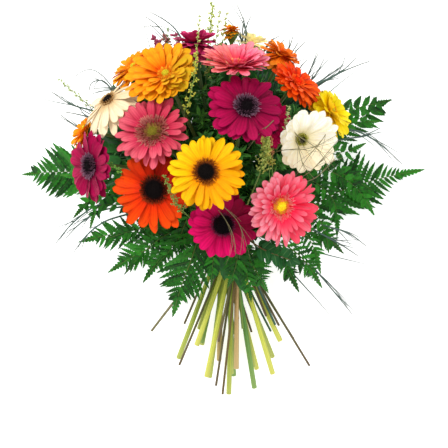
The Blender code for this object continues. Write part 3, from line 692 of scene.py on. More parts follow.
# The smaller fronds that part from the stalks just above the tie: where each passes, across and
# down the camera's 448-wide frame and its height, then its half width, pinna pairs and end blade
SIDE_FRONDS = (
    (((130, 196, 64), (98, 196, 60), (74, 217, 56)), 11, 8, 24),
    (((172, 232, 98), (146, 250, 92), (125.5, 273, 84)), 15, 8, 38),
    (((184, 236, 108), (188, 258, 106), (190, 281, 98)), 14, 7, 26),
    (((214, 240, 122), (213, 262, 120), (211, 285, 112)), 12, 7, 22),
    (((238, 244, 122), (246, 270, 118), (251, 301, 106)), 12, 8, 24),
    (((246, 246, 116), (256, 262, 112), (261, 283, 104)), 10, 7, 20),
    (((262, 240, 100), (280, 258, 92), (298, 290, 80)), 13, 9, 36),
    (((296, 222, 96), (310, 240, 86), (321, 273, 74)), 13, 9, 36),
    (((300, 200, 84), (321, 222, 76), (329, 252, 66)), 13, 9, 30),
    (((306, 178, 74), (332, 198, 66), (337, 235, 58)), 13, 10, 28),
    (((318, 168, 66), (352, 184, 54), (375, 215, 42)), 13, 9, 34),
    (((322, 116, 60), (356, 108, 58), (391, 100, 54)), 15, 10, 26),
    (((322, 132, 56), (350, 124, 52), (380, 121, 48)), 11, 9, 24),
    (((318, 150, 70), (345, 152, 62), (366, 143, 56)), 16, 8, 26),
    (((318, 160, 64), (340, 172, 56), (372, 190, 48)), 16, 8, 28),
    (((110, 170, 60), (85, 176, 40), (60, 175, 26)), 16, 7, 26),
    (((120, 205, 80), (100, 206, 70), (90, 228, 62)), 12, 8, 26),
    (((164, 226, 88), (136, 230, 84), (106, 239, 74)), 14, 8, 36),
    (((190, 215, 110), (180, 236, 108), (156, 266, 98)), 16, 9, 30),
    (((178, 230, 104), (164, 252, 100), (144, 281, 90)), 16, 8, 40),
    (((318, 142, 70), (336, 134, 66), (354, 128, 60)), 14, 7, 24),
)


def seen_at(places):
    """The places that the camera sees at points of its frame, each given with its height.

    A point is as far from the frame's middle as its offset, shrunk by its height below the eye.
    """
    across, down, high = np.asarray(places, float).T
    scale = STEP_WIDTH * (CAMERA_HEIGHT - high) / (CAMERA_HEIGHT - FRAME_LEVEL)
    middle = FRAME_STEPS / 2
    return np.stack((CAMERA_FOOT[0] + (across - middle) * scale,
                     CAMERA_FOOT[1] + (middle - down) * scale, high), axis=1)


def spline_through(points, samples):
    """Points along a smooth curve through the given ones, at the samples from 0 to 1 of its run.

    Each span is a cubic whose end slopes are the neighbours' slopes weighted by chord length.
    """
    p = np.asarray(points, float)
    chords = np.linalg.norm(np.diff(p, axis=0), axis=1)
    at = np.concatenate(([0.0], np.cumsum(chords)))
    slopes = np.diff(p, axis=0) / chords[:, None]
    share = (chords[1:] / (chords[1:] + chords[:-1]))[:, None]
    inner = slopes[:-1] * share + slopes[1:] * (1 - share)
    ends = np.concatenate((slopes[:1], inner, slopes[-1:] * 1.5 - inner[-1:] * 0.5))
    where = np.asarray(samples) * at[-1]
    k = np.minimum(np.searchsorted(at, where, side="right") - 1, len(chords) - 1)
    h = chords[k][:, None]
    t = (where[:, None] - at[k][:, None]) / h
    return ((1 + 2 * t) * (1 - t) ** 2 * p[k] + t * (1 - t) ** 2 * h * ends[k]
            + t * t * (3 - 2 * t) * p[k + 1] - t * t * (1 - t) * h * ends[k + 1])


def stem(node, through, radii, flare=FLARE):
    """A slim stem's knots and skin: from its cut end straight through the waist, a slight flare
    outward, then the points given. The radii go evenly from the waist to its end.
    """
    slot, depth = waist_spot(node)
    foot = below_waist(slot, np.zeros(1))[0]
    knots = [foot, foot + AXIS * 5.0, foot + AXIS * 15.0 + (foot - WAIST) * flare, *np.array(through, float)]
    lower = below_waist(slot, np.concatenate(((depth + 0.02, depth), np.linspace(depth - 0.6, 5.0, 9))))
    path = np.concatenate((lower, spline_through(knots, evenly(len(radii)))))
    size = np.concatenate((np.full(len(lower), radii[0]), radii))
    size[0] *= 0.4
    marks = {"along": evenly(len(path))[:, None], "across": np.linspace(-1, 1, STEM_SIDES)}
    return knots, (tube_rings(path, size, STEM_SIDES, RIGHT), marks)


def strand_skin(path, first, last, around):
    """A thin round strand that tapers evenly from the first radius to the last."""
    return tube_rings(path, np.linspace(first, last, len(path)), around, UP + RIGHT * 0.01), {"along": 0.5}


def frond_skin(rng, knots, half_width, pairs, start, arch, point, blade):
    """The pinnae of a frond, and the undivided blade at its end.

    A pinna's length is the half width, but within the taper it falls as the share of the taper
    left, to the power 0.7 point, and it is shorter toward the frond's foot. Its half width leaves a
    fifth of the gap to its neighbours, times an envelope, wide early and closing at the tip, and a
    row of lobes whose notches reach 62% in at its foot and 26% at its tip. An edge point is pushed
    on toward the tip by half its width, so that the lobes point forward.
    """
    count = 2 * pairs
    blades = spline_through(knots, np.linspace(start, 1, 30))
    long = np.linalg.norm(np.diff(blades, axis=0), axis=1).sum()
    at = (1 - 0.72 * blade / long) * (1 - (1 - (np.arange(count) + 0.5) / count) ** 1.2)
    path = spline_through(knots, start + (1 - start) * np.concatenate(((0.0,), at, (1.0,))))
    way = unit(np.gradient(path, axis=0))[1:]
    root = path[1:]
    over = square_to(UP, way)
    side = np.cross(way, over) * np.where(np.arange(count + 1) % 2, 1, -1)[:, None]
    reach = half_width * np.minimum(1.0, (1 - at) * long / (point * half_width)) ** (0.7 * point) + 1.5
    reach = np.append(reach * np.minimum(1.0, 0.7 + 1.2 * at) * rng.uniform(0.92, 1.08, count), blade)
    root[-1] -= way[-1] * reach[-1]
    lean = np.append(PINNA_LEAN + rng.normal(0, 0.07, count), math.pi / 2)[:, None]
    out = unit(side * np.cos(lean) + way * np.sin(lean) + over * rng.normal(0.0, 0.1, (count + 1, 1)))
    pitch = np.append(np.linalg.norm(np.diff(root, axis=0), axis=1), 0.0)
    cut = np.append(np.minimum(1, 1.7 * (1 - at)), 1.0)
    root, way, over, side, out = (v[:, None] for v in (root, way, over, side, out))
    reach, pitch, cut = (v[:, None, None] for v in (reach, pitch, cut))
    each = reach.shape
    run = evenly(LOBES * LOBE_STEPS + 1)[:, None]
    bend = arch + rng.normal(0.0, 0.05, each)
    spine = root + out * reach * run + way * reach * 0.14 * run ** 2 - over * reach * bend * run ** 1.5
    along = unit(np.gradient(spine, axis=1))
    flank = unit(np.cross(along, over + side * rng.normal(0, 0.25, each)))
    face = np.cross(flank, along)
    lobe = np.abs(np.sin(math.pi * LOBES * run)) ** 0.6
    envelope = np.minimum(1, 0.62 + 1.5 * run) * (1 - run ** 1.7) ** 0.9 + 0.02
    half = np.maximum(0.14 * reach + 0.6, np.minimum(0.8 * pitch, 0.36 * reach))
    half[-1] = 0.18 * blade
    half = half * envelope * (1 - cut * (0.62 - 0.36 * run) * (1 - lobe))
    edge = flank * half
    lobed = spine + along * half * 0.5 + face * half * rng.uniform(-0.1, 0.45, each)
    skin = face * 0.25
    rings = np.stack((lobed + edge, spine + skin, lobed - edge, spine - skin), axis=-2)
    return rings, blade_marks(rng, run, count + 1)


def leaf_recipe(s, light, dark, rib):
    """Blades darker toward the rib, each of its own tone, on a paler green-brown stalk."""
    own = s.mark("mark")
    grain = s.grain(220.0, 3.0)
    edge = s.maths("ABSOLUTE", s.mark("across"))
    veins = (s.mark("along") * 150.0 - edge * 9.0).wave()
    tone = own * 0.45 + grain * 0.7 + edge * 0.2 + veins * 0.1 - 0.25
    midrib = 1 - s.maths("SMOOTH_MIN", edge * 9.0, 1.0)
    leaf = (midrib * 0.45).mix(tone.ramp((0.16, dark), (0.9, light)), rib)
    stalk = s.maths("MINIMUM", s.mark("along") * 4.0, 1.0).mix(paint(BARK), grain.mix(rib, rib * 0.6))
    return s.mark("part").mix(stalk, leaf), grain * 0.16, veins * 0.3 + grain * 0.7


fern_finish = finish("fern", 0.42, 0.1, leaf_recipe, "369A22", "052E0E", "5C7830", Specular_IOR_Level=0.18)
taper = np.interp(evenly(46), (0.0, 0.4, 1.0), (STEM_RADIUS, 1.0, 0.25))
for order, (name, (through, *form)) in enumerate(FRONDS.items()):
    rng = np.random.default_rng(200 + order)
    knots, rib = stem(name, through, taper)
    build("fern_" + name[6:], [rib, frond_skin(rng, knots, *form)], fern_finish, name)

rng = np.random.default_rng(250)
skins = []
for places, half_width, pairs, blade in SIDE_FRONDS:
    through = seen_at(places)
    toward = square_to(through[0] - WAIST, AXIS)
    foot = WAIST + AXIS * rng.uniform(14, 30) + toward * 12.0
    knots = [foot, foot + AXIS * 6.0 + toward * 3.0, *through]
    skins.append(strand_skin(spline_through(knots, evenly(30)), 0.9, 0.25, 6))
    skins.append(frond_skin(rng, knots, half_width, pairs, 0.42, 0.14, 2.2, blade))
build("fern_side_fronds", skins, fern_finish)


# The bear grass. Each bunch is a short stalk of joined roots from which long, thin, stiff strands
# part, grey-green and drier toward their tips.

GRASS = {
    "grass_left": ((-30, 12, 46), (((-120, 80, 44), (-200, 128, 62), (-238, 150, 70)),
                                   ((-110, 100, 40), (-176, 168, 70), (-212, 138, 64)),
                                   ((-70, 120, 42), (-92, 190, 52), (-104, 236, 60)),
                                   ((-96, -4, 52), (-168, -12, 56), (-212, -54, 50)))),
    "grass_right": ((26, 20, 44), (((30, 110, 38), (20, 190, 52), (6, 236, 62)),
                                   ((44, 110, 38), (52, 190, 34), (36, 232, 44)),
                                   ((66, 120, 40), (92, 180, 56), (98, 214, 64)),
                                   ((90, 90, 44), (150, 150, 52), (190, 180, 58)),
                                   ((100, 60, 46), (180, 90, 56), (232, 48, 50)))),
    "grass_low": ((42, -59, 78), (((76, -70, 74), (130, -100, 72), (166, -146, 66)),
                                  ((84, -58, 72), (140, -72, 72), (190, -84, 60)),
                                  ((70, -76, 76), (110, -116, 78), (140, -150, 72)))),
}

# How far along the short stalk its strands part
STRANDS_PART = 0.875


def grass_recipe(s, foot, middle, tip):
    grain = s.grain(90.0)
    colour = (s.mark("along") + grain * 0.4 - 0.2).ramp((0.0, foot), (0.6, middle), (1.0, tip))
    return colour, grain * 0.1, grain


grass_finish = finish("grass", 0.5, 0.05, grass_recipe, "2E5A38", "46645A", "666E66")
run = evenly(40)
width = np.interp(run, (0.0, 0.6, 1.0), (0.95, 0.8, 0.2))
for name, (neck, strands) in GRASS.items():
    knots, foot = stem(name, [neck], np.linspace(STEM_RADIUS, 0.9, 9))
    part = spline_through(knots, [STRANDS_PART])[0]
    skins = [foot]
    for strand in strands:
        path = spline_through([part, neck, *strand], run)
        skins.append((tube_rings(path, width, 5, UP + RIGHT * 0.02), {"along": run[:, None]}))
    build(name + "_blades", skins, grass_finish, name)


# The filler sprigs. Each is a slim branching stem whose side twigs carry small soft buds, pale
# green and yellow, that thin out toward the tip.

FILLER = {
    "filler_top": ((-16, 20, 62), (-24, 130, 62), (-12, 252.9, 70)),
    "filler_front": ((28, -14, 130), (47, 36, 168), (54, 84, 202)),
}
FILLER_TWIGS = 26
BUDS_PER_TWIG = 9
TWIG_TURN = math.radians(137.5)
SPRIG_GREEN = "7C9A44"

# How far along a stem its side twigs start
BUDS_FROM = 0.66


def round_way(way, turn):
    """Directions square to way, turned round it from level."""
    across = unit(np.cross(way, UP))
    return across * np.cos(turn) + np.cross(across, way) * np.sin(turn)


def sprig_skins(rng, knots, twigs, reach, bud):
    """Side twigs set round the outer part of a stem, shorter toward its end, with buds along each.

    A twig goes straight to its tip and bends on along the stem by a fifth of its length times the
    way along it squared.
    """
    share = (np.arange(twigs) + 0.5) / twigs
    at = BUDS_FROM + (1 - BUDS_FROM) * share
    root = spline_through(knots, at)
    way = unit(np.gradient(root, axis=0))
    out = round_way(way, (np.arange(twigs) * TWIG_TURN)[:, None])
    length = reach * (1 - 0.75 * share) * rng.uniform(0.8, 1.1, twigs)
    straight = unit(way * 0.9 + out) * length[:, None]
    bend = way * length[:, None] * 0.2
    t = evenly(5)[:, None]
    path = root[:, None] + straight[:, None] * t + bend[:, None] * t ** 2
    skins = [(tube_rings(path, np.linspace(0.42, 0.2, 5), 4, UP + RIGHT * 0.1), {"along": t})]
    spots = (0.3 + 0.7 * (np.arange(BUDS_PER_TWIG) + 0.5) / BUDS_PER_TWIG)[:, None]
    base = root[:, None] + straight[:, None] * spots + bend[:, None] * spots ** 2
    push = unit(rng.normal(0, 1, base.shape) + way[:, None] * 0.8)
    size = bud * rng.uniform(0.75, 1.2, base.shape[:2])[..., None, None]
    line = base[..., None, :] + push[..., None, :] * size * (0.6 + 2.2 * t)
    rings = tube_rings(line, np.array((0.12, 0.62, 0.8, 0.55, 0.1)) * size[..., 0], 5, UP + RIGHT * 0.3)
    own = rng.uniform(0, 1, base.shape[:2])[..., None, None]
    return skins + [(rings, {"along": t, "part": 1.0, "mark": own})]


# The loose sprigs: where each passes, as for the side fronds, then the reach of its side twigs, the
# size of its buds, how many side twigs, and its darker and its paler colour
SPRIGS = {
    "top_left": (((186, 92, 110), (196, 56, 160), (199.5, 15, 158)), 6.0, 0.9, 20, "8FA83C", "DCE08A"),
    "top_mid": (((206, 80, 90), (216, 40, 124), (220, 11, 122)), 8.0, 1.0, 16, "8FA83C", "DCE08A"),
    "top_back": (((206, 80, 90), (222, 42, 116), (227, 12, 112)), 7.0, 1.0, 14, "8FA83C", "DCE08A"),
    "blush": (((178, 72, 120), (178, 54, 150), (177, 36, 146)), 13.0, 2.2, 18, "8A1A46", "B4506E"),
    "blush_back": (((172, 76, 110), (168, 56, 136), (166, 38, 134)), 14.0, 2.0, 18, "7A3038", "A87868"),
    "blush_far": (((166, 78, 108), (159, 58, 130), (156, 39, 128)), 13.0, 2.2, 18, "7E1640", "AC4A66"),
    "gold_side": (((184, 116, 150), (190, 97, 216), (195, 72, 218), (196, 52, 196)), 9.0, 1.1, 16,
                  "7E9A24", "DCCC48"),
    "fuzz": (((172, 76, 100), (170, 50, 134), (167, 28, 132)), 9.0, 0.9, 14, "4E7A2A", "9AB060"),
    "left": (((118, 122, 60), (88, 104, 82), (59, 79, 84)), 9.0, 0.9, 26, "9AB060", "D2DCA0"),
    "front": (((186, 214, 176), (176, 202, 202), (165, 176, 204)), 10.0, 1.1, 15, "4E7A2A", "9AA848"),
    "side": (((132, 182, 150), (120, 170, 172), (106, 163, 172)), 9.0, 1.2, 15, "3E8A2A", "8AC04A"),
    "middle": (((268, 190, 120), (268, 160, 160), (262, 134, 196)), 10.0, 1.5, 18, "8AA42C", "F0DC70"),
    "blush_plume": (((272, 176, 120), (270, 150, 160), (267, 121, 198)), 7.0, 1.2, 18, "D8784C", "F0B080"),
    "right": (((284, 150, 130), (286, 128, 176), (289, 106, 168)), 8.0, 1.1, 18, "9AB048", "E4E8B0"),
}


def filler_recipe(s, twig, green, pale):
    grain = s.grain(400.0)
    bud = (s.mark("mark") * 0.6 + s.mark("along") * 0.4).mix(green, pale)
    return s.mark("part").mix(twig, bud), grain * 0.2, grain


for order, (name, through) in enumerate(FILLER.items()):
    rng = np.random.default_rng(400 + order)
    knots, foot = stem(name, through, np.linspace(STEM_RADIUS, 0.35, 40), 0.0)
    skins = [foot, *sprig_skins(rng, knots, FILLER_TWIGS, 13.0, 1.25)]
    look = finish(name, 0.6, 0.05, filler_recipe, SPRIG_GREEN, "8AA830", "DCE07C")
    build("sprig" + name[6:], skins, look, name)
for order, (name, (places, reach, bud, twigs, *colours)) in enumerate(SPRIGS.items()):
    rng = np.random.default_rng(420 + order)
    through = seen_at(places)
    knots = [WAIST + AXIS * 24.0 + square_to(through[0] - WAIST, AXIS) * 11.0, *through]
    foot = strand_skin(spline_through(knots, evenly(26)), 0.8, 0.3, 5)
    skins = [foot, *sprig_skins(rng, knots, twigs, reach, bud)]
    build("sprig_" + name, skins, finish("sprig_" + name, 0.6, 0.05, filler_recipe, SPRIG_GREEN, *colours))


# The small-leaved greens that fill the bunch between the heads. Their shoots part from the other
# stalks just above the tie and end in a low dome under the petals, so no gap shows the table.

GREENS_CENTRE = np.array((-12.0, 68.0, 0.0))
GREENS_REACH = np.array((146.0, 131.0, 0.0))
SHOOTS = 68
SHOOT_LEAVES = 60
SHOOT_NEEDLES = 92


def shoot_skins(rng, leaf_length, leaf_width, needle_length, needle_width):
    """Leafy shoots from the tied stalks to a dome, z = 50 + 106 (1 - r²), at the golden angle.

    Leaves and needles go round each shoot at the golden angle too, and lean toward its tip. A
    needle is a three-sided spindle.
    """
    share, flat = sunflower(SHOOTS, rng.uniform(0, 6.28))
    high = 50 + 106 * (1 - share ** 2) + rng.uniform(-14, 8, (SHOOTS, 1))
    tip = GREENS_CENTRE + flat * share * GREENS_REACH + UP * high
    ring = rng.uniform(0, 6.28, SHOOTS)
    start = WAIST + AXIS * rng.uniform(16, 60, (SHOOTS, 1)) + round_axis(ring) * 15.0
    span = np.linalg.norm(tip - start, axis=1)[:, None]
    arrive = unit(flat * share + UP * 0.8)
    handles = (start, start + AXIS * span * 0.35, tip - arrive * span * 0.3, tip)
    stems = tube_rings(bezier(*handles, evenly(12)), np.linspace(0.9, 0.3, 12), 3, RIGHT + UP * 0.1)
    skins = [(stems, {"along": 0.5})]
    for count, length, width, first in ((SHOOT_LEAVES, leaf_length, leaf_width, 0.3),
                                        (SHOOT_NEEDLES, needle_length, needle_width, 0.2)):
        base = bezier(*handles, first + (1 - first) * (np.arange(count) + rng.uniform(0, 1, count)) / count)
        way = unit(np.gradient(base, axis=1))
        turn = (np.arange(count) * GOLDEN + rng.uniform(0, 6.28, (SHOOTS, 1)))[..., None]
        spread = np.radians(rng.uniform(40, 78, (SHOOTS, count, 1)))
        leaf_way = way * np.cos(spread) + round_way(way, turn) * np.sin(spread)
        long = rng.uniform(*length, (SHOOTS, count))
        wide = rng.uniform(*width, (SHOOTS, count))
        if count == SHOOT_LEAVES:
            t = np.array((0.0, 0.32, 0.7, 1.0))[:, None]
            rings = leaf_rings(base, leaf_way, square_to(way, leaf_way), long, wide, t, 0.3, 0.15, 0.4)
            marks = {}
        else:
            t = np.array((0.0, 0.5, 1.0))[:, None]
            line = base[..., None, :] + leaf_way[..., None, :] * long[..., None, None] * t
            rings = tube_rings(line, wide[..., None] * np.array((0.3, 0.5, 0.1)), 3, UP + RIGHT * 0.1)
            marks = {"across": 0.4}
        skins.append((rings, {**blade_marks(rng, t, SHOOTS, count), **marks}))
    return skins


rng = np.random.default_rng(600)
skins = shoot_skins(rng, (11.0, 17.0), (3.4, 5.2), (8.0, 14.0), (1.3, 2.0))
leaf_finish = finish("greens", 0.5, 0.05, leaf_recipe, "5CB03C", "0E4A1C", "55702C", Specular_IOR_Level=0.25)
build("greens_shoots", skins[:2], leaf_finish)
build("greens_needles", skins[2:], leaf_finish)

# Broad, dark, leathery leaves back the shoots in a shallower dome. Some more hang over the tie and
# stand between the outer heads, each given by where the camera sees its foot and its tip. Each
# outer leaf has a stalk that runs back in among the shoots.
BACKING = 420
STALKED = 160
COLLAR = (
    ((206, 246, 104), (208, 272, 100)), ((216, 248, 112), (214, 280, 106)),
    ((226, 250, 118), (224, 282, 108)), ((236, 248, 118), (238, 284, 108)),
    ((246, 250, 114), (250, 282, 104)), ((256, 248, 104), (262, 276, 98)),
    ((232, 256, 112), (244, 296, 106)), ((198, 240, 96), (194, 262, 92)),
    ((266, 240, 98), (276, 262, 92)), ((221, 244, 120), (219, 268, 116)),
    ((242, 244, 118), (243, 270, 112)), ((122, 138, 84), (98, 130, 76)),
    ((122, 150, 84), (96, 146, 74)), ((122, 160, 84), (98, 163, 74)),
    ((112, 156, 78), (96, 136, 72)), ((122, 145, 82), (100, 139, 72)),
    ((202, 116, 96), (188, 94, 98)), ((184, 120, 96), (196, 92, 98)),
    ((204, 66, 96), (196, 42, 96)), ((214, 66, 92), (222, 40, 90)),
    ((268, 72, 92), (270, 46, 88)), ((120, 112, 84), (112, 84, 84)),
    ((98, 190, 60), (84, 206, 54)), ((118, 196, 74), (96, 208, 66)),
)
share, flat = sunflower(BACKING)
flat = flat * share
high = 30 + 70 * (1 - share ** 2) + rng.uniform(-8, 8, (BACKING, 1))
root = GREENS_CENTRE + flat * GREENS_REACH * 0.86 + UP * high
way = flat * 1.4 + UP * 0.25 + rng.normal(0, 0.35, (BACKING, 3))
length = rng.uniform(24, 36, BACKING)
width = rng.uniform(15, 21, BACKING)
collar = np.array([seen_at(places) for places in COLLAR])
reach = np.linalg.norm(collar[:, 1] - collar[:, 0], axis=1)
root = np.concatenate((root, collar[:, 0]))
way = unit(np.concatenate((way, collar[:, 1] - collar[:, 0])))
length = np.concatenate((length, reach))
width = np.concatenate((width, reach * rng.uniform(0.34, 0.5, len(reach))))
face = square_to(UP + rng.normal(0, 0.3, way.shape), way)
run = np.array((0.0, 0.15, 0.45, 0.8, 1.0))[:, None]
rings = leaf_rings(root, way, face, length, width, run, 0.25, 0.16, 0.7)
tip = root[-STALKED - len(COLLAR):]
way = way[-len(tip):]
foot = tip + (GREENS_CENTRE + UP * 90.0 - tip) * 0.35
stalks = bezier(foot, foot + (tip - foot) * 0.4, tip - way * 10.0, tip + way * 2.0, evenly(5))
stalks = tube_rings(stalks, np.linspace(1.2, 0.8, 5), 3, UP + RIGHT * 0.1)
marks = blade_marks(rng, run * 0.05, len(root))
build("backing_leaves", [(stalks, {"along": 0.5}), (rings, marks)],
      finish("backing_leaves", 0.4, 0.05, leaf_recipe, "2A7E2C", "083412", "3E6A30", Specular_IOR_Level=0.3))


# The wisps. Fine dry strands of the same grass stand out past the heads on all sides, each from
# among the greens; the camera sees their tips against the table.

# Where each wisp passes: across and down the camera's frame, and the height
WISPS = (
    ((140, 128, 60), (118, 100, 88), (101, 80.5, 96), (91.5, 83, 92), (89, 91, 88)),
    ((170, 110, 70), (144, 93, 95), (118, 88, 100), (94, 88.5, 96)),
    ((130, 135, 60), (104, 124, 74), (86, 116.5, 78), (65, 112, 78)),
    ((130, 145, 60), (104, 136, 70), (82, 129, 72), (60, 114.5, 72)),
    ((118, 130, 60), (95, 112, 78), (70, 104, 84), (52, 92, 84)),
    ((180, 90, 60), (170, 50, 96), (160, 28, 98), (145, 16.5, 96)),
    ((196, 90, 60), (186, 50, 84), (176, 30, 92), (150, 12, 94)),
    ((235, 100, 50), (243, 60, 78), (245, 26, 90), (237, 5, 90)),
    ((240, 100, 50), (241, 62, 76), (241, 38, 90), (228, 20, 88)),
    ((244, 100, 50), (244, 62, 76), (243, 38, 84), (251, 16, 84)),
    ((262, 100, 50), (264, 66, 78), (270, 50, 88), (272, 38, 88)),
    ((256, 100, 50), (262, 58, 84), (268, 44, 92), (279, 36, 92)),
    ((270, 100, 50), (282, 62, 88), (290, 46, 94), (293, 36, 94)),
    ((276, 100, 50), (288, 66, 86), (297, 50, 94), (305, 42, 94)),
    ((290, 116, 50), (306, 80, 88), (312, 66, 94), (318, 54, 92)),
    ((300, 120, 50), (318, 84, 86), (338, 74, 86), (356, 58, 84)),
    ((262, 100, 50), (270, 66, 80), (276, 50, 92), (284, 40, 92)),
    ((268, 100, 50), (284, 70, 84), (289, 58, 92), (298, 43, 92)),
    ((276, 110, 50), (296, 76, 84), (300, 68, 90), (307, 60, 90)),
    ((284, 110, 50), (308, 84, 84), (316, 74, 90), (324, 59, 90)),
    ((286, 112, 50), (306, 90, 80), (322, 80, 84), (344, 65, 84)),
    ((290, 116, 50), (310, 92, 80), (334, 76, 84), (370, 61, 80)),
    ((300, 140, 50), (330, 128, 66), (352, 130, 66), (402, 164, 56)),
    ((310, 150, 50), (340, 140, 66), (362, 136, 66), (380, 128, 60)),
    ((262, 222, 90), (288, 240, 86), (312, 266, 76), (352, 314, 62)),
    ((262, 228, 90), (284, 250, 84), (300, 262, 78), (318, 282, 72)),
    ((290, 215, 84), (318, 232, 76), (340, 244, 70), (358, 256, 62)),
    ((292, 210, 84), (326, 226, 72), (346, 232, 68), (366, 246, 60)),
    ((120, 200, 70), (96, 206, 64), (76, 220, 56), (56, 243, 46)),
    ((126, 206, 70), (98, 212, 64), (82, 222, 56), (66, 238, 50)),
    ((128, 214, 70), (104, 222, 66), (88, 234, 58), (74, 252, 50)),
)

# Where each dry twig passes over the heads
DRY_TWIGS = (
    ((212, 196, 150), (223, 206, 186), (238, 222, 188), (244, 251, 184)),
    ((206, 206, 140), (220, 212, 182), (232, 232, 186), (236, 258, 176)),
    ((262, 160, 130), (284, 150, 178), (306, 149, 184), (338, 134, 178)),
    ((294, 128, 150), (298, 146, 184), (304, 166, 186), (314, 178, 176)),
    ((296, 180, 150), (312, 170, 178), (328, 152, 182), (338, 140, 176)),
    ((300, 184, 150), (318, 176, 176), (334, 160, 178), (342, 152, 172)),
    ((300, 120, 130), (296, 134, 176), (318, 150, 186), (330, 172, 176)),
    ((262, 130, 150), (272, 122, 212), (256, 138, 216), (247, 150, 205)),
    ((330, 120, 120), (322, 140, 172), (306, 160, 182), (296, 176, 176)),
)

# The thin dry twig that leaves the collar to the lower left, across the cut ends
LOOSE_TWIG = (((214, 256, 84), (203, 268, 82), (178, 297, 70), (151.5, 331, 56)),)

rng = np.random.default_rng(700)
dry_finish = finish("dry_twigs", 0.6, 0.05, leaf_recipe, "7C7A50", "4A4030", "8A8258")
t = evenly(30)
last = len(t) - 1
for name, routes, radius, end, branches, dressed in (
        ("wisps", WISPS, 1.15, 0.4, 4, grass_finish), ("dry_twigs", DRY_TWIGS, 0.5, 0.4, 4, dry_finish),
        ("loose_twig", LOOSE_TWIG, 1.8, 0.9, 0, dry_finish)):
    skins = []
    for places in routes:
        run = spline_through(seen_at(places), t)
        width = radius * np.interp(t, (0, 0.6, 1), (1.0, 0.95, end))
        skins.append((tube_rings(run, width, 5, UP + RIGHT * 0.02), {"along": t[:, None]}))
        for _ in range(branches):
            at = int(last * rng.uniform(0.45, 0.85))
            side = rng.normal(0, 1, 3) * (7, 7, 3)
            knots = np.stack((run[at - 1], run[at] + side * 0.1, run[min(last, at + 7)] + side))
            twig = spline_through(knots, evenly(10))
            width = radius * np.linspace(0.6, 0.2, 10)
            skins.append((tube_rings(twig, width, 4, UP + RIGHT * 0.02), {"along": 0.8}))
    build(name, skins, dressed)


# The leafy twig. Under the front heads a short woody twig carries round, dark, waxy leaves.

LEAFY_TWIG = ((30, -50, 116), (50, -62, 130), (86, -76, 124))
ROUND_LEAVES = 15


def round_leaf_recipe(s, bark, dark, light, rib):
    grain = s.grain(150.0, 3.0)
    midrib = 1 - s.maths("SMOOTH_MIN", s.maths("ABSOLUTE", s.mark("across")) * 7.0, 1.0)
    leaf = (midrib * 0.5).mix((s.mark("mark") * 0.6 + grain * 0.5).mix(dark, light), rib)
    return s.mark("part").mix(bark, leaf), grain * 0.12, grain + midrib * 0.4


rng = np.random.default_rng(500)
knots, foot = stem("leafy_twig", LEAFY_TWIG, np.linspace(STEM_RADIUS, 0.6, 30))
order = np.arange(ROUND_LEAVES)
at = 1.0 - 0.45 * order / ROUND_LEAVES
root = spline_through(knots, at)
way = unit(root - spline_through(knots, at - 0.03))
hand = np.where(order % 2, 1.0, -1.0)[:, None]
leaf_way = unit(way * 0.5 + np.cross(way, UP) * hand * 0.9 + rng.normal(0, 0.15, way.shape))
leaf_way[0] = way[0]
leaf_up = square_to(UP + rng.normal(0, 0.25, way.shape), leaf_way)
run = evenly(9)[:, None]
rings = leaf_rings(root, leaf_way, leaf_up, rng.uniform(12, 17, ROUND_LEAVES),
                   rng.uniform(9, 12.5, ROUND_LEAVES), run, 0.15, 0.12, 0.7)
look = finish("leafy_twig", 0.4, 0.08, round_leaf_recipe, "6A5A34", "083C14", "247030", "6A9A5A",
              Specular_IOR_Level=0.2)
build("round_leaf_twig", [foot, (rings, blade_marks(rng, run, ROUND_LEAVES))], look, "leafy_twig")


# The tie. Natural twine wound three times round the waist, its three strands twisted round each
# other.

TWINE = 1.2
TIE_TURNS = 3
STRANDS = 3
TWIST_PITCH = 5.0
TIE_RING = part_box("tie_twine")
TIE_RADIUS = (TIE_RING[1].x - TIE_RING[0].x) / MM / 2 - TWINE

angle = np.linspace(0, 2 * math.pi * TIE_TURNS, 150 * TIE_TURNS)
coil = angle / (2 * math.pi) - TIE_TURNS / 2
out = round_axis(angle)
middle = WAIST + out * TIE_RADIUS + AXIS * (coil * 2 * TWINE)[:, None]
skins = []
for strand in range(STRANDS):
    phase = (angle * TIE_RADIUS / TWIST_PITCH * 2 * math.pi + strand * 2 * math.pi / STRANDS)[:, None]
    path = middle + (out * np.cos(phase) + AXIS * np.sin(phase)) * TWINE * 0.5
    skins.append((tube_rings(path, np.full(len(path), TWINE * 0.52), 5, AXIS), {"mark": strand / 2}))


def twine_recipe(s, dark, light):
    grain = s.grain(700.0, 4.0)
    return (grain * 0.8 + s.mark("mark") * 0.2).mix(dark, light), grain * 0.2, grain


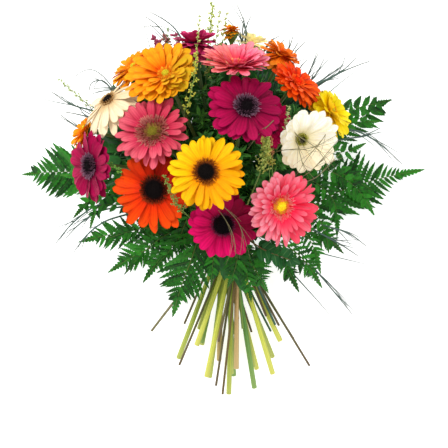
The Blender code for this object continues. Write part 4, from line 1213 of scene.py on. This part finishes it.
build("tie_cord", skins, finish("tie_twine", 0.75, 0.3, twine_recipe, "8A6A3C", "D2B27C"), "tie_twine")


# The table, the light and the camera: a white sheet, a bright room with a soft light from the
# upper left and two fills, and a camera that looks straight down from well above the bunch.

bpy.ops.mesh.primitive_plane_add(size=6.0, location=(0, 0, -0.0005))
floor = bpy.context.object
floor.name = "table_top"
floor_finish = bpy.data.materials.new("table_white")
floor_finish.use_nodes = True
floor_look = {"Base Color": (0.93, 0.93, 0.93, 1), "Roughness": 0.9, "Specular IOR Level": 0.0,
              "Emission Color": (1, 1, 1, 1), "Emission Strength": 0.6}
for key, value in floor_look.items():
    floor_finish.node_tree.nodes["Principled BSDF"].inputs[key].default_value = value
floor.data.materials.append(floor_finish)
floor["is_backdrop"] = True


def soft_light(name, place, size, power):
    """A square light that faces the middle of the bunch."""
    lamp = bpy.data.lights.new(name, "AREA")
    lamp.size = size
    lamp.energy = power
    obj = bpy.data.objects.new(name, lamp)
    obj.location = place
    obj.rotation_euler = (Vector((0, 0, 0.1)) - Vector(place)).to_track_quat("-Z", "Y").to_euler()
    bpy.context.scene.collection.objects.link(obj)


soft_light("key", (-0.8, 0.9, 1.5), 0.6, 20)
soft_light("front_fill", (0.6, -1.6, 1.1), 1.2, 4)
soft_light("right_fill", (1.6, 0.9, 1.0), 1.2, 6)
world = bpy.data.worlds.new("room")
world.use_nodes = True
sky = world.node_tree.nodes["Background"]
sky.inputs["Color"].default_value = (1, 1, 1, 1)
sky.inputs["Strength"].default_value = 0.74
bpy.context.scene.world = world
bpy.context.scene.view_settings.view_transform = "Standard"

eye = bpy.data.cameras.new("camera")
eye.sensor_width = 36
eye.lens = eye.sensor_width * (CAMERA_HEIGHT - FRAME_LEVEL) / (FRAME_STEPS * STEP_WIDTH)
camera = bpy.data.objects.new("camera", eye)
camera.location = (CAMERA_FOOT[0] * MM, CAMERA_FOOT[1] * MM, CAMERA_HEIGHT * MM)
bpy.context.scene.collection.objects.link(camera)
bpy.context.scene.camera = camera

low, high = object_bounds()
